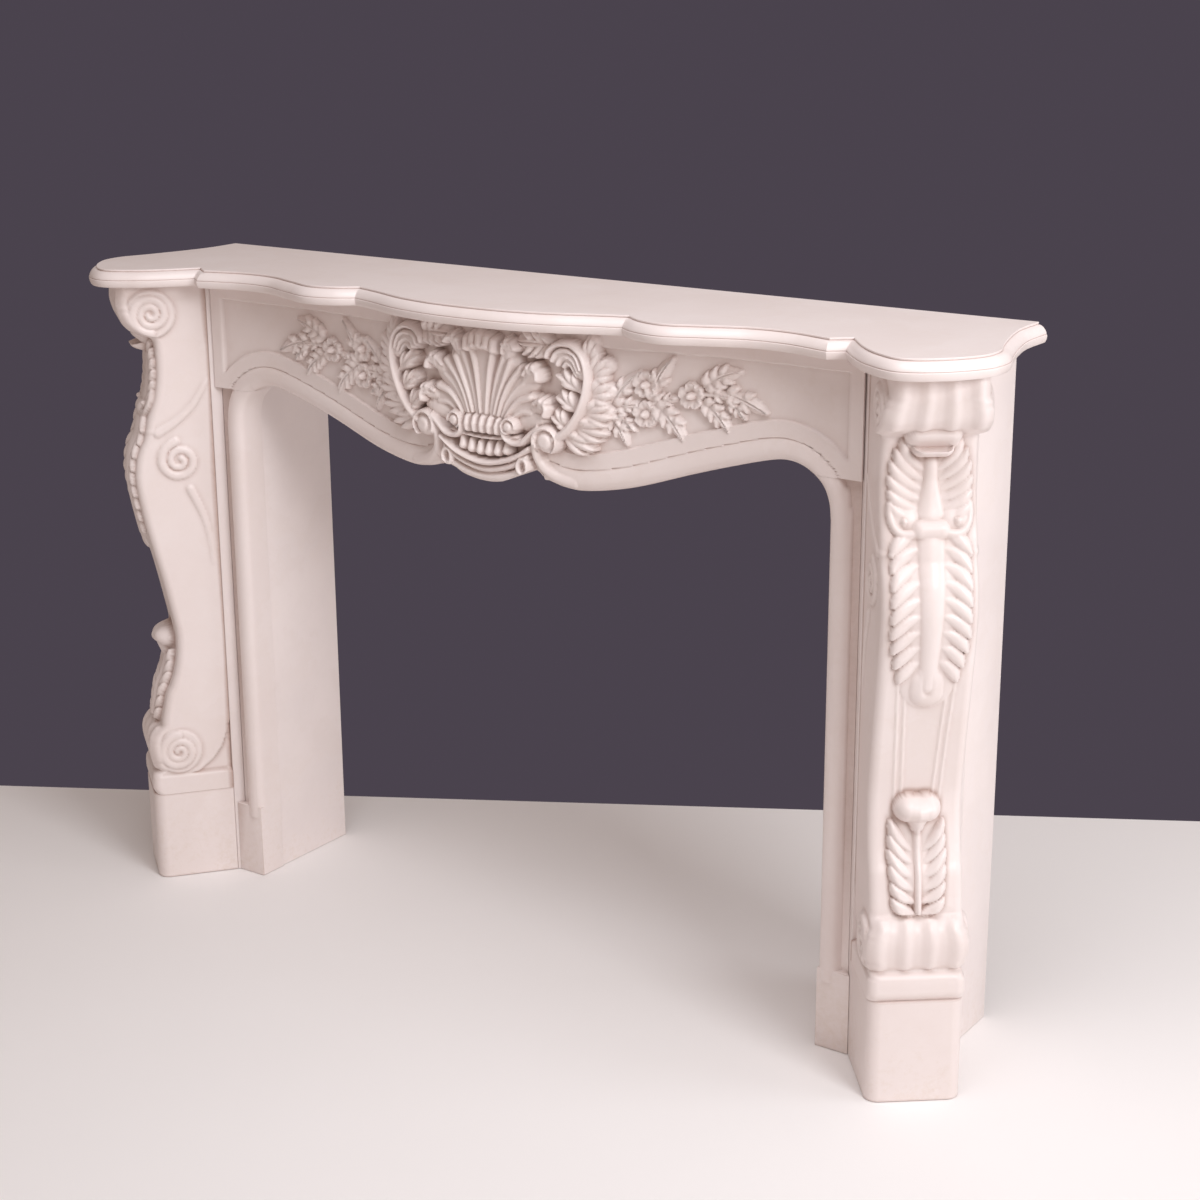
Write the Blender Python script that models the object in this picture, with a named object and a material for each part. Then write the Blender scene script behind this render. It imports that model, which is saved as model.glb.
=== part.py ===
"""Carved stone fireplace mantel in the Louis XV style.

A serpentine moulded shelf rests on a bowed, arched frieze and on two splayed
consoles. The frieze carries a shell cartouche between acanthus scrolls, with a
spray of flowers and leaves on each side. Each console has a fluted roll above
and below, three acanthus leaves down its front and spiral volutes on its sides.

The origin is on the floor under the middle of the shelf's box. +X is the
mantel's right hand seen from the room, -Y faces the room and +Z is up.
Depths are measured forward from the wall behind the mantel.
"""

import math

import bmesh
import bpy
import numpy as np
from mathutils import Vector

# Overall sizes, in metres
HEIGHT = 1.100
SHELF_THICKNESS = 0.0285
OPENING_HALF_WIDTH = 0.568
OPENING_SPRING_DROP = 0.065
FACE_DEPTH = 0.228
SLAB_THICKNESS = 0.053
JOINT_GAP = 0.0003

# Frieze
FRIEZE_EAR_WIDTH = 0.052
FRIEZE_END_HEIGHT = 0.893
FRIEZE_BOW = 0.045
FRIEZE_BOW_HALF_LENGTH = 0.50
ROLL_WIDTH = 0.034
ROLL_CROWN = 0.003
ROLL_SETBACK = 0.013
ROLL_GROOVE = 0.004
FILLET_WIDTH = 0.025
BORDER_WIDTH = 0.023
PANEL_TOP_BAND = 0.0255
PANEL_RECESS = 0.005
SPRAY_END_MARGIN = 0.135

# Arch of the opening, drops measured from the frieze's lower ends
ARCH_CREST_RISE = 0.013
ARCH_CREST_INSET = 0.068
ARCH_HAUNCH_INSET = 0.165
ARCH_HAUNCH_DROP = 0.008
ARCH_DIP_X = 0.175
ARCH_DIP_DROP = 0.070
CARTOUCHE_FOOT_DROP = 0.072
CARTOUCHE_HALF_WIDTH = 0.118

# Jambs and their plinth blocks
JAMB_VALLEY = 0.0120
JAMB_FOOT_HEIGHT = 0.131
JAMB_SIDE_WIDTH = 0.060

# Consoles, splayed outwards from the front
SPLAY = math.radians(38.5)
CONSOLE_LEAD = 0.0032
CONSOLE_HALF_WIDTH = 0.0700
CONSOLE_BODY_INSET = 0.0020
CONSOLE_EDGE_RADIUS = 0.014
CONSOLE_PLINTH_HEIGHT = 0.160
CONSOLE_PLINTH_DEPTH = 0.1405
CONSOLE_PLINTH_CORNER = 0.020
CONSOLE_ROLL_REACH = 0.1455
CONSOLE_NECK_REACH = 0.0905
CONSOLE_BELLY_REACH = 0.136
CONSOLE_WAIST_REACH = 0.0845
CONSOLE_FOOT_REACH = 0.113
CONSOLE_TORUS_REACH = 0.1415
CONSOLE_FLUTE_RISE = 0.004
CONSOLE_FOOT_RECESS = 0.006
CONSOLE_TORUS_RISE = 0.003
VOLUTE_DISC_RISE = 0.0045

# Backing slabs behind the consoles and the returns to the wall
PILASTER_THICKNESS = 0.0196
PILASTER_WIDTH = 0.1485
RETURN_THICKNESS = 0.024
INNER_RETURN_INSET = 0.002

# Shelf plan, beyond the masonry below it
SHELF_CENTRE_REACH = 0.328
SHELF_CUSP_X = 0.255
SHELF_CUSP_REACH = 0.267
SHELF_WAVE_X = 0.335
SHELF_WAVE_REACH = 0.298
SHELF_HOLLOW_REACH = 0.254
SHELF_EAR_INSET = 0.040
SHELF_EAR_REACH = 0.272
SHELF_EAR_STEP = 0.024
SHELF_LOBE_MARGIN = 0.014
SHELF_LOBE_OVERHANG = 0.0255
SHELF_END_OVERHANG = 0.0303
SHELF_MOULDING = 0.014

# Relief of the carving
SPRAY_RELIEF = 0.012
CARTOUCHE_RELIEF = 0.022
LEAF_RELIEF = 0.0082
VOLUTE_RELIEF = 0.004

# Fineness of the carved surfaces
CARVED_STEP = 0.0045
FRIEZE_TRIANGLES = 3300
CONSOLE_TRIANGLES = 1850
TRIM_MARGIN = 0.004
CURVE_STEPS = 8
SHELF_STEPS = 3

OPENING_SPRING_HEIGHT = FRIEZE_END_HEIGHT - OPENING_SPRING_DROP
FRIEZE_HALF_LENGTH = OPENING_HALF_WIDTH + FRIEZE_EAR_WIDTH
SHELF_UNDERSIDE = HEIGHT - SHELF_THICKNESS
BLOCK_TOP = SHELF_UNDERSIDE - JOINT_GAP
BACK_DEPTH = FACE_DEPTH - SLAB_THICKNESS
SIDE_DIRECTION = np.array([math.cos(SPLAY), -math.sin(SPLAY)])
FRONT_DIRECTION = np.array([math.sin(SPLAY), math.cos(SPLAY)])
CONSOLE_CORNER = np.array([OPENING_HALF_WIDTH + JAMB_SIDE_WIDTH, FACE_DEPTH + CONSOLE_LEAD])
CONSOLE_ORIGIN = CONSOLE_CORNER + SIDE_DIRECTION * CONSOLE_HALF_WIDTH


def smooth_curve(points, steps=CURVE_STEPS):
    """Return points along a smooth curve that passes through the given ones."""
    knots = np.asarray(points, dtype=float)
    first = 2.0 * knots[0] - knots[1]
    last = 2.0 * knots[-1] - knots[-2]
    padded = np.vstack([first, knots, last])
    t = np.linspace(0.0, 1.0, steps, endpoint=False)[:, None]
    spans = []
    for a, b, c, d in zip(padded, padded[1:], padded[2:], padded[3:]):
        cubic = -a + 3.0 * b - 3.0 * c + d
        square = 2.0 * a - 5.0 * b + 4.0 * c - d
        spans.append(0.5 * (2.0 * b + (c - a) * t + square * t**2 + cubic * t**3))
    spans.append(knots[-1:])
    return np.vstack(spans)


def soft_step(value, edge, width):
    """Rise from 0 to 1 as the value passes the edge, over the given width."""
    t = np.clip((value - edge) / width + 0.5, 0.0, 1.0)
    return t * t * (3.0 - 2.0 * t)


def ridge(u, v, path, radius, rise):
    """Return the height at (u, v) of a rounded ridge laid along a path."""
    height = np.zeros_like(u)
    path = np.asarray(path, dtype=float)
    radius = np.broadcast_to(radius, len(path))
    rise = np.broadcast_to(rise, len(path))
    reach = radius.max()
    low = path.min(axis=0) - reach
    high = path.max(axis=0) + reach
    near = (u > low[0]) & (u < high[0]) & (v > low[1]) & (v < high[1])
    if not near.any():
        return height
    un = u[near]
    vn = v[near]
    best = np.zeros_like(un)
    for i in range(len(path) - 1):
        start = path[i]
        along = path[i + 1] - start
        length = max(float(along @ along), 1e-12)
        t = np.clip(((un - start[0]) * along[0] + (vn - start[1]) * along[1]) / length, 0.0, 1.0)
        gap = (un - start[0] - t * along[0]) ** 2 + (vn - start[1] - t * along[1]) ** 2
        size = radius[i] + (radius[i + 1] - radius[i]) * t
        lift = rise[i] + (rise[i + 1] - rise[i]) * t
        best = np.maximum(best, lift * np.sqrt(np.clip(1.0 - gap / size**2, 0.0, 1.0)))
    height[near] = best
    return height


def petal(start, end, width, rise, bend=0.0):
    """Return the ridge of one leaf lobe, narrow at its root and full near its tip."""
    start = np.asarray(start, dtype=float)
    end = np.asarray(end, dtype=float)
    along = end - start
    middle = 0.5 * (start + end) + bend * np.array([-along[1], along[0]])
    t = np.linspace(0.0, 1.0, 5)[:, None]
    path = (1 - t) ** 2 * start + 2 * t * (1 - t) * middle + t**2 * end
    swell = np.array([0.45, 0.80, 1.00, 0.92, 0.50])
    return path, width * swell, rise * np.array([0.55, 0.85, 1.00, 0.95, 0.70])


def spiral(centre, radius, turns, start_angle, hand, width, rise):
    """Return the ridge of a volute that winds inwards from its outer turn."""
    steps = int(turns * 12) + 1
    t = np.linspace(0.0, 1.0, steps)
    angle = start_angle + hand * t * turns * 2.0 * math.pi
    reach = radius * (1.0 - 0.82 * t)
    path = np.stack([centre[0] + reach * np.cos(angle), centre[1] + reach * np.sin(angle)], axis=1)
    return path, width * (1.0 - 0.35 * t), np.full(steps, rise)


def leaf(root, tip, width, lobes, rise, bend=0.0):
    """Return the ridges of a small leaf: a midrib and pairs of lobes along it."""
    path, _, _ = petal(root, tip, width, rise, bend)
    ridges = [petal(root, tip, width * 0.42, rise, bend)]
    spine = smooth_curve(path, 4)
    for i in range(lobes):
        share = (i + 0.35) / lobes
        foot = spine[int(share * (len(spine) - 1))]
        ahead = spine[min(int((share + 0.30) * (len(spine) - 1)), len(spine) - 1)]
        along = ahead - foot
        along = along / max(np.linalg.norm(along), 1e-9)
        across = np.array([-along[1], along[0]])
        size = width * math.sin(math.pi * (0.22 + 0.62 * share))
        for side in (-1.0, 1.0):
            end = foot + along * size * 0.95 + across * side * size * 0.85
            ridges.append(petal(foot, end, width * 0.33, rise * 0.85, side * 0.15))
    return ridges


def flower(centre, radius, rise, petals=5):
    """Return the ridges of an open flower with a raised eye."""
    ridges = []
    for i in range(petals):
        angle = math.pi / 2 + i * 2.0 * math.pi / petals
        out = np.array([math.cos(angle), math.sin(angle)])
        start = np.asarray(centre) + out * radius * 0.35
        ridges.append(petal(start, np.asarray(centre) + out * radius * 0.78, radius * 0.42, rise))
    eye = np.asarray(centre, dtype=float)
    ridges.append((np.array([eye, eye + 1e-4]), radius * 0.30, rise * 1.25))
    return ridges


def arch_outline():
    """Return the right half of the opening's edge as (x, height), from the middle to the jamb."""
    edge = OPENING_HALF_WIDTH
    base = FRIEZE_END_HEIGHT
    haunch = edge - ARCH_HAUNCH_INSET
    dip = base - ARCH_DIP_DROP
    run = haunch - ARCH_DIP_X
    fall = ARCH_DIP_DROP - ARCH_HAUNCH_DROP
    knots = [
        (ARCH_DIP_X - 0.075, dip + 0.010),
        (ARCH_DIP_X - 0.040, dip + 0.001),
        (ARCH_DIP_X, dip),
        (ARCH_DIP_X + run * 0.32, dip + fall * 0.22),
        (ARCH_DIP_X + run * 0.73, dip + fall * 0.70),
        (haunch, base - ARCH_HAUNCH_DROP),
        (edge - ARCH_CREST_INSET * 1.5, base + ARCH_CREST_RISE * 0.70),
        (edge - ARCH_CREST_INSET, base + ARCH_CREST_RISE),
        (edge - ARCH_CREST_INSET * 0.58, base + ARCH_CREST_RISE * 0.40),
        (edge - ARCH_CREST_INSET * 0.22, base - ARCH_CREST_RISE * 1.05),
        (edge - ARCH_CREST_INSET * 0.05, base - ARCH_CREST_RISE * 2.9),
        (edge, OPENING_SPRING_HEIGHT),
    ]
    return smooth_curve(knots)


ARCH = arch_outline()


def arch_height(x):
    """Return the height of the opening's edge at x, with the cartouche hanging at the middle."""
    side = np.abs(x)
    fallen = (ARCH[:, 0] > OPENING_HALF_WIDTH - ARCH_CREST_INSET) & (ARCH[:, 1] < FRIEZE_END_HEIGHT)
    upper = ARCH[: int(np.argmax(fallen))]
    outer = np.interp(side, upper[:, 0], upper[:, 1])
    outer = np.where(side > upper[-1, 0], FRIEZE_END_HEIGHT, outer)
    foot = FRIEZE_END_HEIGHT - CARTOUCHE_FOOT_DROP
    width = CARTOUCHE_HALF_WIDTH
    shares = np.array([0.0, 0.25, 0.47, 0.60, 0.72, 0.85])
    drops = np.array([0.0, 0.004, 0.017, 0.021, 0.029, 0.018])
    middle = foot + np.interp(side / width, shares, drops)
    return np.where(side < ARCH[0, 0], middle, outer)


def arch_distance(x, z):
    """Return how far (x, z) lies from the opening's edge."""
    side = np.abs(x)
    nearest = np.full_like(side, 1.0)
    path = np.vstack([ARCH, [OPENING_HALF_WIDTH, 0.0]])
    for start, end in zip(path, path[1:]):
        along = end - start
        length = max(float(along @ along), 1e-12)
        t = np.clip(((side - start[0]) * along[0] + (z - start[1]) * along[1]) / length, 0.0, 1.0)
        gap = np.hypot(side - start[0] - t * along[0], z - start[1] - t * along[1])
        nearest = np.minimum(nearest, gap)
    return nearest


def bow(x):
    """Return how far the frieze bows forward at x."""
    share = np.clip(np.abs(x) / FRIEZE_BOW_HALF_LENGTH, 0.0, 1.0)
    return FRIEZE_BOW * 0.5 * (1.0 + np.cos(math.pi * share))


def roll_section(distance, outer_depth):
    """Return the depth of the roll moulding, from the opening's edge outwards."""
    half = ROLL_WIDTH / 2
    share = np.clip((distance - half) / half, -1.0, 1.0)
    curve = np.sqrt(1.0 - share**2)
    inner = -ROLL_SETBACK + (ROLL_SETBACK + ROLL_CROWN) * curve
    outer = -outer_depth + (outer_depth + ROLL_CROWN) * curve
    return np.where(share < 0.0, inner, outer)


def cartouche_ridges():
    """Return the ridges of the cartouche: shell, gadroons, garlands, scrolls and leaves."""
    foot = FRIEZE_END_HEIGHT - CARTOUCHE_FOOT_DROP
    width = CARTOUCHE_HALF_WIDTH
    tall = BLOCK_TOP - 0.010 - foot
    rise = CARTOUCHE_RELIEF

    def place(across, up):
        return np.array([across * width, foot + up * tall])

    ridges = []
    rib_count = 9
    for i in range(rib_count):
        share = 2.0 * i / (rib_count - 1) - 1.0
        angle = share * math.radians(74)
        tip = place(0.90 * math.sin(angle), 0.445 + 0.535 * math.cos(angle))
        root = place(0.34 * share, 0.435)
        ridges.append(petal(root, tip, 0.0085, rise * 0.95, -0.08 * share))
        curl = (np.array([tip, tip + [0.0, 1e-4]]), 0.0105, rise * 1.2)
        ridges.append(curl)
    for i in range(5):
        middle = (i - 2) * 0.125
        ridges.append((np.array([place(middle, 0.36), place(middle, 0.45)]), 0.0085, rise * 1.25))
    for i in range(6):
        middle = (i - 2.5) * 0.145
        level = 0.235 + 0.030 * abs(middle)
        ridges.append((np.array([place(middle, level), place(middle * 0.95, level + 0.05)]), 0.0085, rise))
    low_garland = [place(a, 0.04 + 0.09 * a * a) for a in (-0.50, -0.25, 0.0, 0.25, 0.50)]
    ridges.append((smooth_curve(low_garland, 4), 0.0085, rise * 0.80))
    high_garland = [place(a, 0.11 + 0.35 * a * a) for a in (-0.72, -0.45, 0.0, 0.45, 0.72)]
    ridges.append((smooth_curve(high_garland, 4), 0.0065, rise * 1.05))
    for hand in (-1.0, 1.0):
        ridges.append(spiral(place(hand * 0.44, 0.385), 0.012, 1.3, math.pi / 2, -hand, 0.006, rise * 1.2))
        ridges.append(spiral(place(hand * 0.60, 0.145), 0.010, 1.0, 0.0, hand, 0.0050, rise * 0.85))
        ridges.append(spiral(place(hand, 0.325), 0.0175, 1.6, -math.pi / 2, hand, 0.0070, rise * 1.15))
        tail = [place(hand * a, b) for a, b in ((0.90, 0.26), (0.88, 0.17), (1.00, 0.10), (1.25, 0.085))]
        ridges.append((smooth_curve(tail, 4), 0.0080, rise * np.linspace(1.0, 0.35, 13)))
        stem = [(1.03, 0.33), (1.27, 0.42), (1.47, 0.56), (1.58, 0.70), (1.57, 0.80), (1.44, 0.90)]
        stem += [(1.26, 0.93), (1.10, 0.88), (1.07, 0.82)]
        curve = smooth_curve([place(hand * a, b) for a, b in stem], 4)
        ridges.append((curve, np.linspace(0.0085, 0.0055, len(curve)), rise * 1.05))
        fronds = ((1.52, 0.75, 1.13, 0.78), (1.50, 0.66, 1.10, 0.68), (1.40, 0.54, 1.12, 0.57))
        fronds += ((1.24, 0.42, 1.07, 0.46), (1.22, 0.93, 0.66, 0.955), (0.99, 0.74, 0.80, 0.60))
        fronds += ((1.52, 0.84, 1.58, 0.975), (1.58, 0.76, 1.76, 0.865), (1.58, 0.66, 1.80, 0.75))
        fronds += ((1.48, 0.56, 1.76, 0.63), (1.34, 0.46, 1.74, 0.47), (1.20, 0.38, 1.60, 0.33))
        fronds += ((1.15, 0.32, 1.38, 0.25),)
        for a, b, c, d in fronds:
            ridges += leaf(place(hand * a, b), place(hand * c, d), 0.0165, 2, rise * 0.80, 0.12 * hand)
    return ridges


def spray_ridges():
    """Return the ridges of the two sprays of flowers and leaves beside the cartouche."""
    start = 1.70 * CARTOUCHE_HALF_WIDTH
    middle = FRIEZE_END_HEIGHT + 0.085
    length = FRIEZE_HALF_LENGTH - BORDER_WIDTH - SPRAY_END_MARGIN - start
    rise = SPRAY_RELIEF
    leaves = ((0.04, -0.030, 0.20, 0.030), (0.28, 0.000, 0.42, 0.055), (0.04, -0.030, 0.13, -0.066))
    leaves += ((0.30, -0.010, 0.46, -0.041), (0.60, 0.004, 0.75, -0.022), (0.60, 0.020, 0.73, 0.046))
    leaves += ((0.67, 0.016, 0.86, 0.044), (0.76, 0.018, 1.00, 0.007), (0.74, 0.014, 0.85, -0.002))
    leaves += ((0.05, 0.000, 0.13, 0.022),)
    ridges = []
    for hand in (-1.0, 1.0):

        def place(along, up):
            return np.array([hand * (start + along * length), middle + up])

        stem = ((-0.02, -0.035), (0.28, -0.008), (0.55, 0.010), (0.95, 0.008))
        ridges.append((smooth_curve([place(a, b) for a, b in stem], 4), 0.0040, rise * 0.6))
        for a, b, c, d in leaves:
            ridges += leaf(place(a, b), place(c, d), 0.0165, 3, rise * 0.85, 0.10 * hand)
        for along, up in ((0.27, 0.016), (0.27, -0.024), (0.545, 0.009)):
            ridges += flower(place(along, up), 0.0185, rise)
    return ridges


def carve(u, v, ridges):
    """Return the height of the highest ridge at (u, v)."""
    height = np.zeros_like(u)
    for path, radius, rise in ridges:
        height = np.maximum(height, ridge(u, v, path, radius, rise))
    return height


def frieze_depth(x, z):
    """Return the depth of the frieze's face at (x, z)."""
    distance = arch_distance(x, z)
    roll = roll_section(distance, ROLL_GROOVE)
    outside_middle = soft_step(np.abs(x), ARCH[0, 0], 0.010)
    band = ROLL_WIDTH + FILLET_WIDTH
    inside = soft_step(distance, band, 0.003)
    inside = inside * soft_step(FRIEZE_HALF_LENGTH - BORDER_WIDTH - np.abs(x), 0.0, 0.003)
    inside = inside * soft_step(SHELF_UNDERSIDE - PANEL_TOP_BAND - z, 0.0, 0.003)
    ground = np.where(distance < ROLL_WIDTH, roll * outside_middle, 0.0) - PANEL_RECESS * inside
    carving = np.maximum(carve(x, z, cartouche_ridges()), carve(x, z, spray_ridges()) - PANEL_RECESS)
    carved = np.maximum(ground, carving - PANEL_RECESS * 0.5)
    return FACE_DEPTH + bow(x) + np.where(carving > 0.0, carved, ground)


def jamb_depth(x, z):
    """Return the depth of the jamb's face at (x, z)."""
    return FACE_DEPTH + roll_section(arch_distance(x, z), JAMB_VALLEY)


def to_world(x, depth, z):
    """Return points of the model's frame from depths forward of the wall."""
    return np.stack([x, WALL_Y - depth, z], axis=-1)


def console_point(across, reach):
    """Return the plan place (x, depth) of a point in the right console's own frame."""
    return CONSOLE_ORIGIN + SIDE_DIRECTION * across + FRONT_DIRECTION * reach


def shelf_outline():
    """Return the right half of the shelf's top edge as (x, depth), from the middle to the wall."""
    corner = CONSOLE_CORNER[0]
    ear = corner - SHELF_EAR_INSET
    centre = [
        (0.0, SHELF_CENTRE_REACH),
        (SHELF_CUSP_X * 0.27, SHELF_CENTRE_REACH - 0.004),
        (SHELF_CUSP_X * 0.55, SHELF_CENTRE_REACH - 0.019),
        (SHELF_CUSP_X * 0.80, SHELF_CUSP_REACH + 0.017),
        (SHELF_CUSP_X, SHELF_CUSP_REACH),
    ]
    hollow = ear - SHELF_WAVE_X
    wave = [
        (SHELF_CUSP_X, SHELF_CUSP_REACH),
        (SHELF_WAVE_X - 0.045, SHELF_WAVE_REACH - 0.008),
        (SHELF_WAVE_X, SHELF_WAVE_REACH),
        (SHELF_WAVE_X + hollow * 0.22, SHELF_WAVE_REACH - 0.020),
        (SHELF_WAVE_X + hollow * 0.46, SHELF_HOLLOW_REACH + 0.002),
        (SHELF_WAVE_X + hollow * 0.72, SHELF_HOLLOW_REACH),
        (ear, SHELF_EAR_REACH),
    ]
    notch = np.array([ear + SHELF_EAR_STEP, SHELF_EAR_REACH - SHELF_EAR_STEP])
    half = CONSOLE_HALF_WIDTH + SHELF_LOBE_MARGIN
    reach = CONSOLE_ROLL_REACH + SHELF_LOBE_OVERHANG
    lobe = [
        notch,
        console_point(-half - 0.008, reach * 0.40),
        console_point(-half + 0.001, reach * 0.70),
        console_point(-half * 0.70, reach * 0.96),
        console_point(-half * 0.08, reach),
        console_point(half * 0.60, reach * 0.90),
        console_point(half * 0.97, reach * 0.71),
        console_point(half * 1.15, reach * 0.46),
    ]
    end = CONSOLE_CORNER[0] + PILASTER_WIDTH * math.cos(SPLAY) + SHELF_END_OVERHANG
    tail = lobe[-1]
    lobe.append(np.array([end + (tail[0] - end) * 0.42, tail[1] * 0.66]))
    lobe.append(np.array([end + 0.001, tail[1] * 0.34]))
    lobe.append(np.array([end, 0.0]))
    curves = [smooth_curve(knots, SHELF_STEPS) for knots in (centre, wave, lobe)]
    return np.vstack([curves[0][:-1], curves[1], curves[2][1:]])


def offset_outline(half, amount):
    """Move the half outline outwards, keeping its ends on the middle line and the wall."""
    ahead = np.vstack([half[1:], half[-1:]])
    behind = np.vstack([half[:1] * [-1.0, 1.0], half[:-1]])
    behind[0] = half[1] * [-1.0, 1.0]
    ahead[-1] = half[-1] + [0.0, -0.01]
    into = half - behind
    out = ahead - half
    into /= np.linalg.norm(into, axis=1)[:, None]
    out /= np.linalg.norm(out, axis=1)[:, None]
    normal_in = np.stack([-into[:, 1], into[:, 0]], axis=1)
    normal_out = np.stack([-out[:, 1], out[:, 0]], axis=1)
    mitre = normal_in + normal_out
    mitre /= np.maximum((mitre * normal_in).sum(axis=1), 0.5)[:, None]
    moved = half + mitre * amount
    moved[0, 0] = 0.0
    moved[-1, 1] = half[-1, 1]
    return moved


SHELF_PLAN = shelf_outline()
WALL_Y = (SHELF_PLAN[:, 1].max() + SHELF_MOULDING) / 2


def new_material(name, colour, roughness):
    """Return a plain stone material."""
    material = bpy.data.materials.new(name)
    material.use_nodes = True
    shader = material.node_tree.nodes["Principled BSDF"]
    shader.inputs["Base Color"].default_value = (*colour, 1.0)
    shader.inputs["Roughness"].default_value = roughness
    shader.inputs["Metallic"].default_value = 0.0
    material.diffuse_color = (*colour, 1.0)
    return material


def add_object(name, bm, material, angle=35.0):
    """Turn a bmesh into a named object with its material."""
    bmesh.ops.recalc_face_normals(bm, faces=bm.faces)
    mesh = bpy.data.meshes.new(name)
    bm.to_mesh(mesh)
    bm.free()
    mesh.materials.append(material)
    mesh.shade_smooth()
    mesh.set_sharp_from_angle(angle=math.radians(angle))
    obj = bpy.data.objects.new(name, mesh)
    bpy.context.scene.collection.objects.link(obj)
    return obj


def loft(rings):
    """Return a bmesh closed over rings of points, each ring a closed loop."""
    rings = np.asarray(rings, dtype=float)
    closed = np.concatenate([rings, rings[:, :1]], axis=1)
    count, points, _ = closed.shape
    bm = bmesh.new()
    bmesh.ops.create_grid(bm, x_segments=points - 1, y_segments=count - 1, size=1.0)
    for vert, place in zip(bm.verts, closed.reshape(-1, 3)):
        vert.co = place
    bmesh.ops.remove_doubles(bm, verts=bm.verts, dist=1e-6)
    rim = [edge for edge in bm.edges if edge.is_boundary]
    bmesh.ops.holes_fill(bm, edges=rim, sides=0)
    return bm


def thin_out(bm, target):
    """Collapse a carved bmesh to about the target number of triangles."""
    bmesh.ops.triangulate(bm, faces=bm.faces)
    mesh = bpy.data.meshes.new("carved")
    bm.to_mesh(mesh)
    count = len(bm.faces)
    bm.free()
    obj = bpy.data.objects.new("carved", mesh)
    bpy.context.scene.collection.objects.link(obj)
    modifier = obj.modifiers.new("Decimate", "DECIMATE")
    modifier.ratio = min(1.0, target / count)
    modifier.use_collapse_triangulate = True
    graph = bpy.context.evaluated_depsgraph_get()
    thinned = bpy.data.meshes.new_from_object(obj.evaluated_get(graph))
    result = bmesh.new()
    result.from_mesh(thinned)
    bpy.data.objects.remove(obj)
    bpy.data.meshes.remove(mesh)
    bpy.data.meshes.remove(thinned)
    return result


def trim(bm, place, outward):
    """Cut a closed bmesh flat at a plane and close it again."""
    geometry = list(bm.verts) + list(bm.edges) + list(bm.faces)
    place = Vector(place)
    outward = Vector(outward)
    bmesh.ops.bisect_plane(
        bm, geom=geometry, dist=1e-5, plane_co=place, plane_no=outward, clear_outer=True
    )
    rim = [edge for edge in bm.edges if edge.is_boundary]
    bmesh.ops.holes_fill(bm, edges=rim, sides=0)


def prism(outline, low, high):
    """Return a bmesh of a plan outline of (x, depth) raised from one level to another."""
    plan = np.asarray(outline, dtype=float)
    rings = [to_world(plan[:, 0], plan[:, 1], np.full(len(plan), level)) for level in (low, high)]
    return loft(rings)


def mirrored(outline, hand):
    """Return a plan outline for the left or the right side."""
    return np.asarray(outline, dtype=float) * [hand, 1.0]


def make_shelf(material):
    """Build the serpentine shelf with its moulded edge."""
    profile = (
        (-SHELF_THICKNESS, 0.90),
        (-SHELF_THICKNESS * 0.90, 0.96),
        (-SHELF_THICKNESS * 0.56, 1.00),
        (-SHELF_THICKNESS * 0.34, 0.84),
        (-SHELF_THICKNESS * 0.17, 0.52),
        (-SHELF_THICKNESS * 0.08, 0.16),
        (-SHELF_THICKNESS * 0.07, 0.0),
        (0.0, 0.0),
    )
    rings = []
    for level, share in profile:
        right = offset_outline(SHELF_PLAN, SHELF_MOULDING * share)
        left = right[:0:-1] * [-1.0, 1.0]
        loop = np.vstack([left, right])
        rings.append(to_world(loop[:, 0], loop[:, 1], np.full(len(loop), HEIGHT + level)))
    return add_object("shelf", loft(rings), material, 25.0)


def frieze_columns():
    """Return the x places of the frieze's columns, closer together at the cartouche."""
    end = FRIEZE_HALF_LENGTH + TRIM_MARGIN
    middle = 2.0 * CARTOUCHE_HALF_WIDTH
    fine = np.arange(0.0, middle, CARVED_STEP * 0.8)
    coarse = np.linspace(middle, end, int((end - middle) / CARVED_STEP) + 1)
    right = np.concatenate([fine, coarse])
    return np.concatenate([-right[:0:-1], right])


def make_frieze(material):
    """Build the arched frieze with its mouldings and carving."""
    columns = frieze_columns()
    low = arch_height(columns)
    high = BLOCK_TOP + TRIM_MARGIN
    rows = np.linspace(0.0, 1.0, int((BLOCK_TOP - FRIEZE_END_HEIGHT) * 1.25 / CARVED_STEP) + 1) ** 1.15
    x = np.repeat(columns[:, None], len(rows), axis=1)
    z = low[:, None] + (high - low)[:, None] * rows[None, :]
    depth = frieze_depth(x, z)
    back = np.full((len(columns), 1), BACK_DEPTH - TRIM_MARGIN)
    x = np.concatenate([x, x[:, -1:], x[:, :1]], axis=1)
    z = np.concatenate([z, z[:, -1:], z[:, :1]], axis=1)
    depth = np.concatenate([depth, back, back], axis=1)
    bm = thin_out(loft(to_world(x, depth, z)), FRIEZE_TRIANGLES)
    for vert in bm.verts:
        on_ear = abs(vert.co.x) > OPENING_HALF_WIDTH - ARCH_CREST_INSET * 0.58
        if on_ear and abs(vert.co.z - FRIEZE_END_HEIGHT) < CARVED_STEP * 0.4:
            vert.co.z = max(vert.co.z, FRIEZE_END_HEIGHT)
    trim(bm, (0.0, 0.0, BLOCK_TOP), (0.0, 0.0, 1.0))
    trim(bm, (0.0, WALL_Y - BACK_DEPTH, 0.0), (0.0, 1.0, 0.0))
    for hand in (-1.0, 1.0):
        trim(bm, (hand * FRIEZE_HALF_LENGTH, 0.0, 0.0), (hand, 0.0, 0.0))
        corner = CONSOLE_CORNER - SIDE_DIRECTION * 4.0 * JOINT_GAP
        place = (hand * corner[0], WALL_Y - corner[1], 0.0)
        trim(bm, place, (hand * SIDE_DIRECTION[0], -SIDE_DIRECTION[1], 0.0))
    return add_object("frieze", bm, material)


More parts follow.
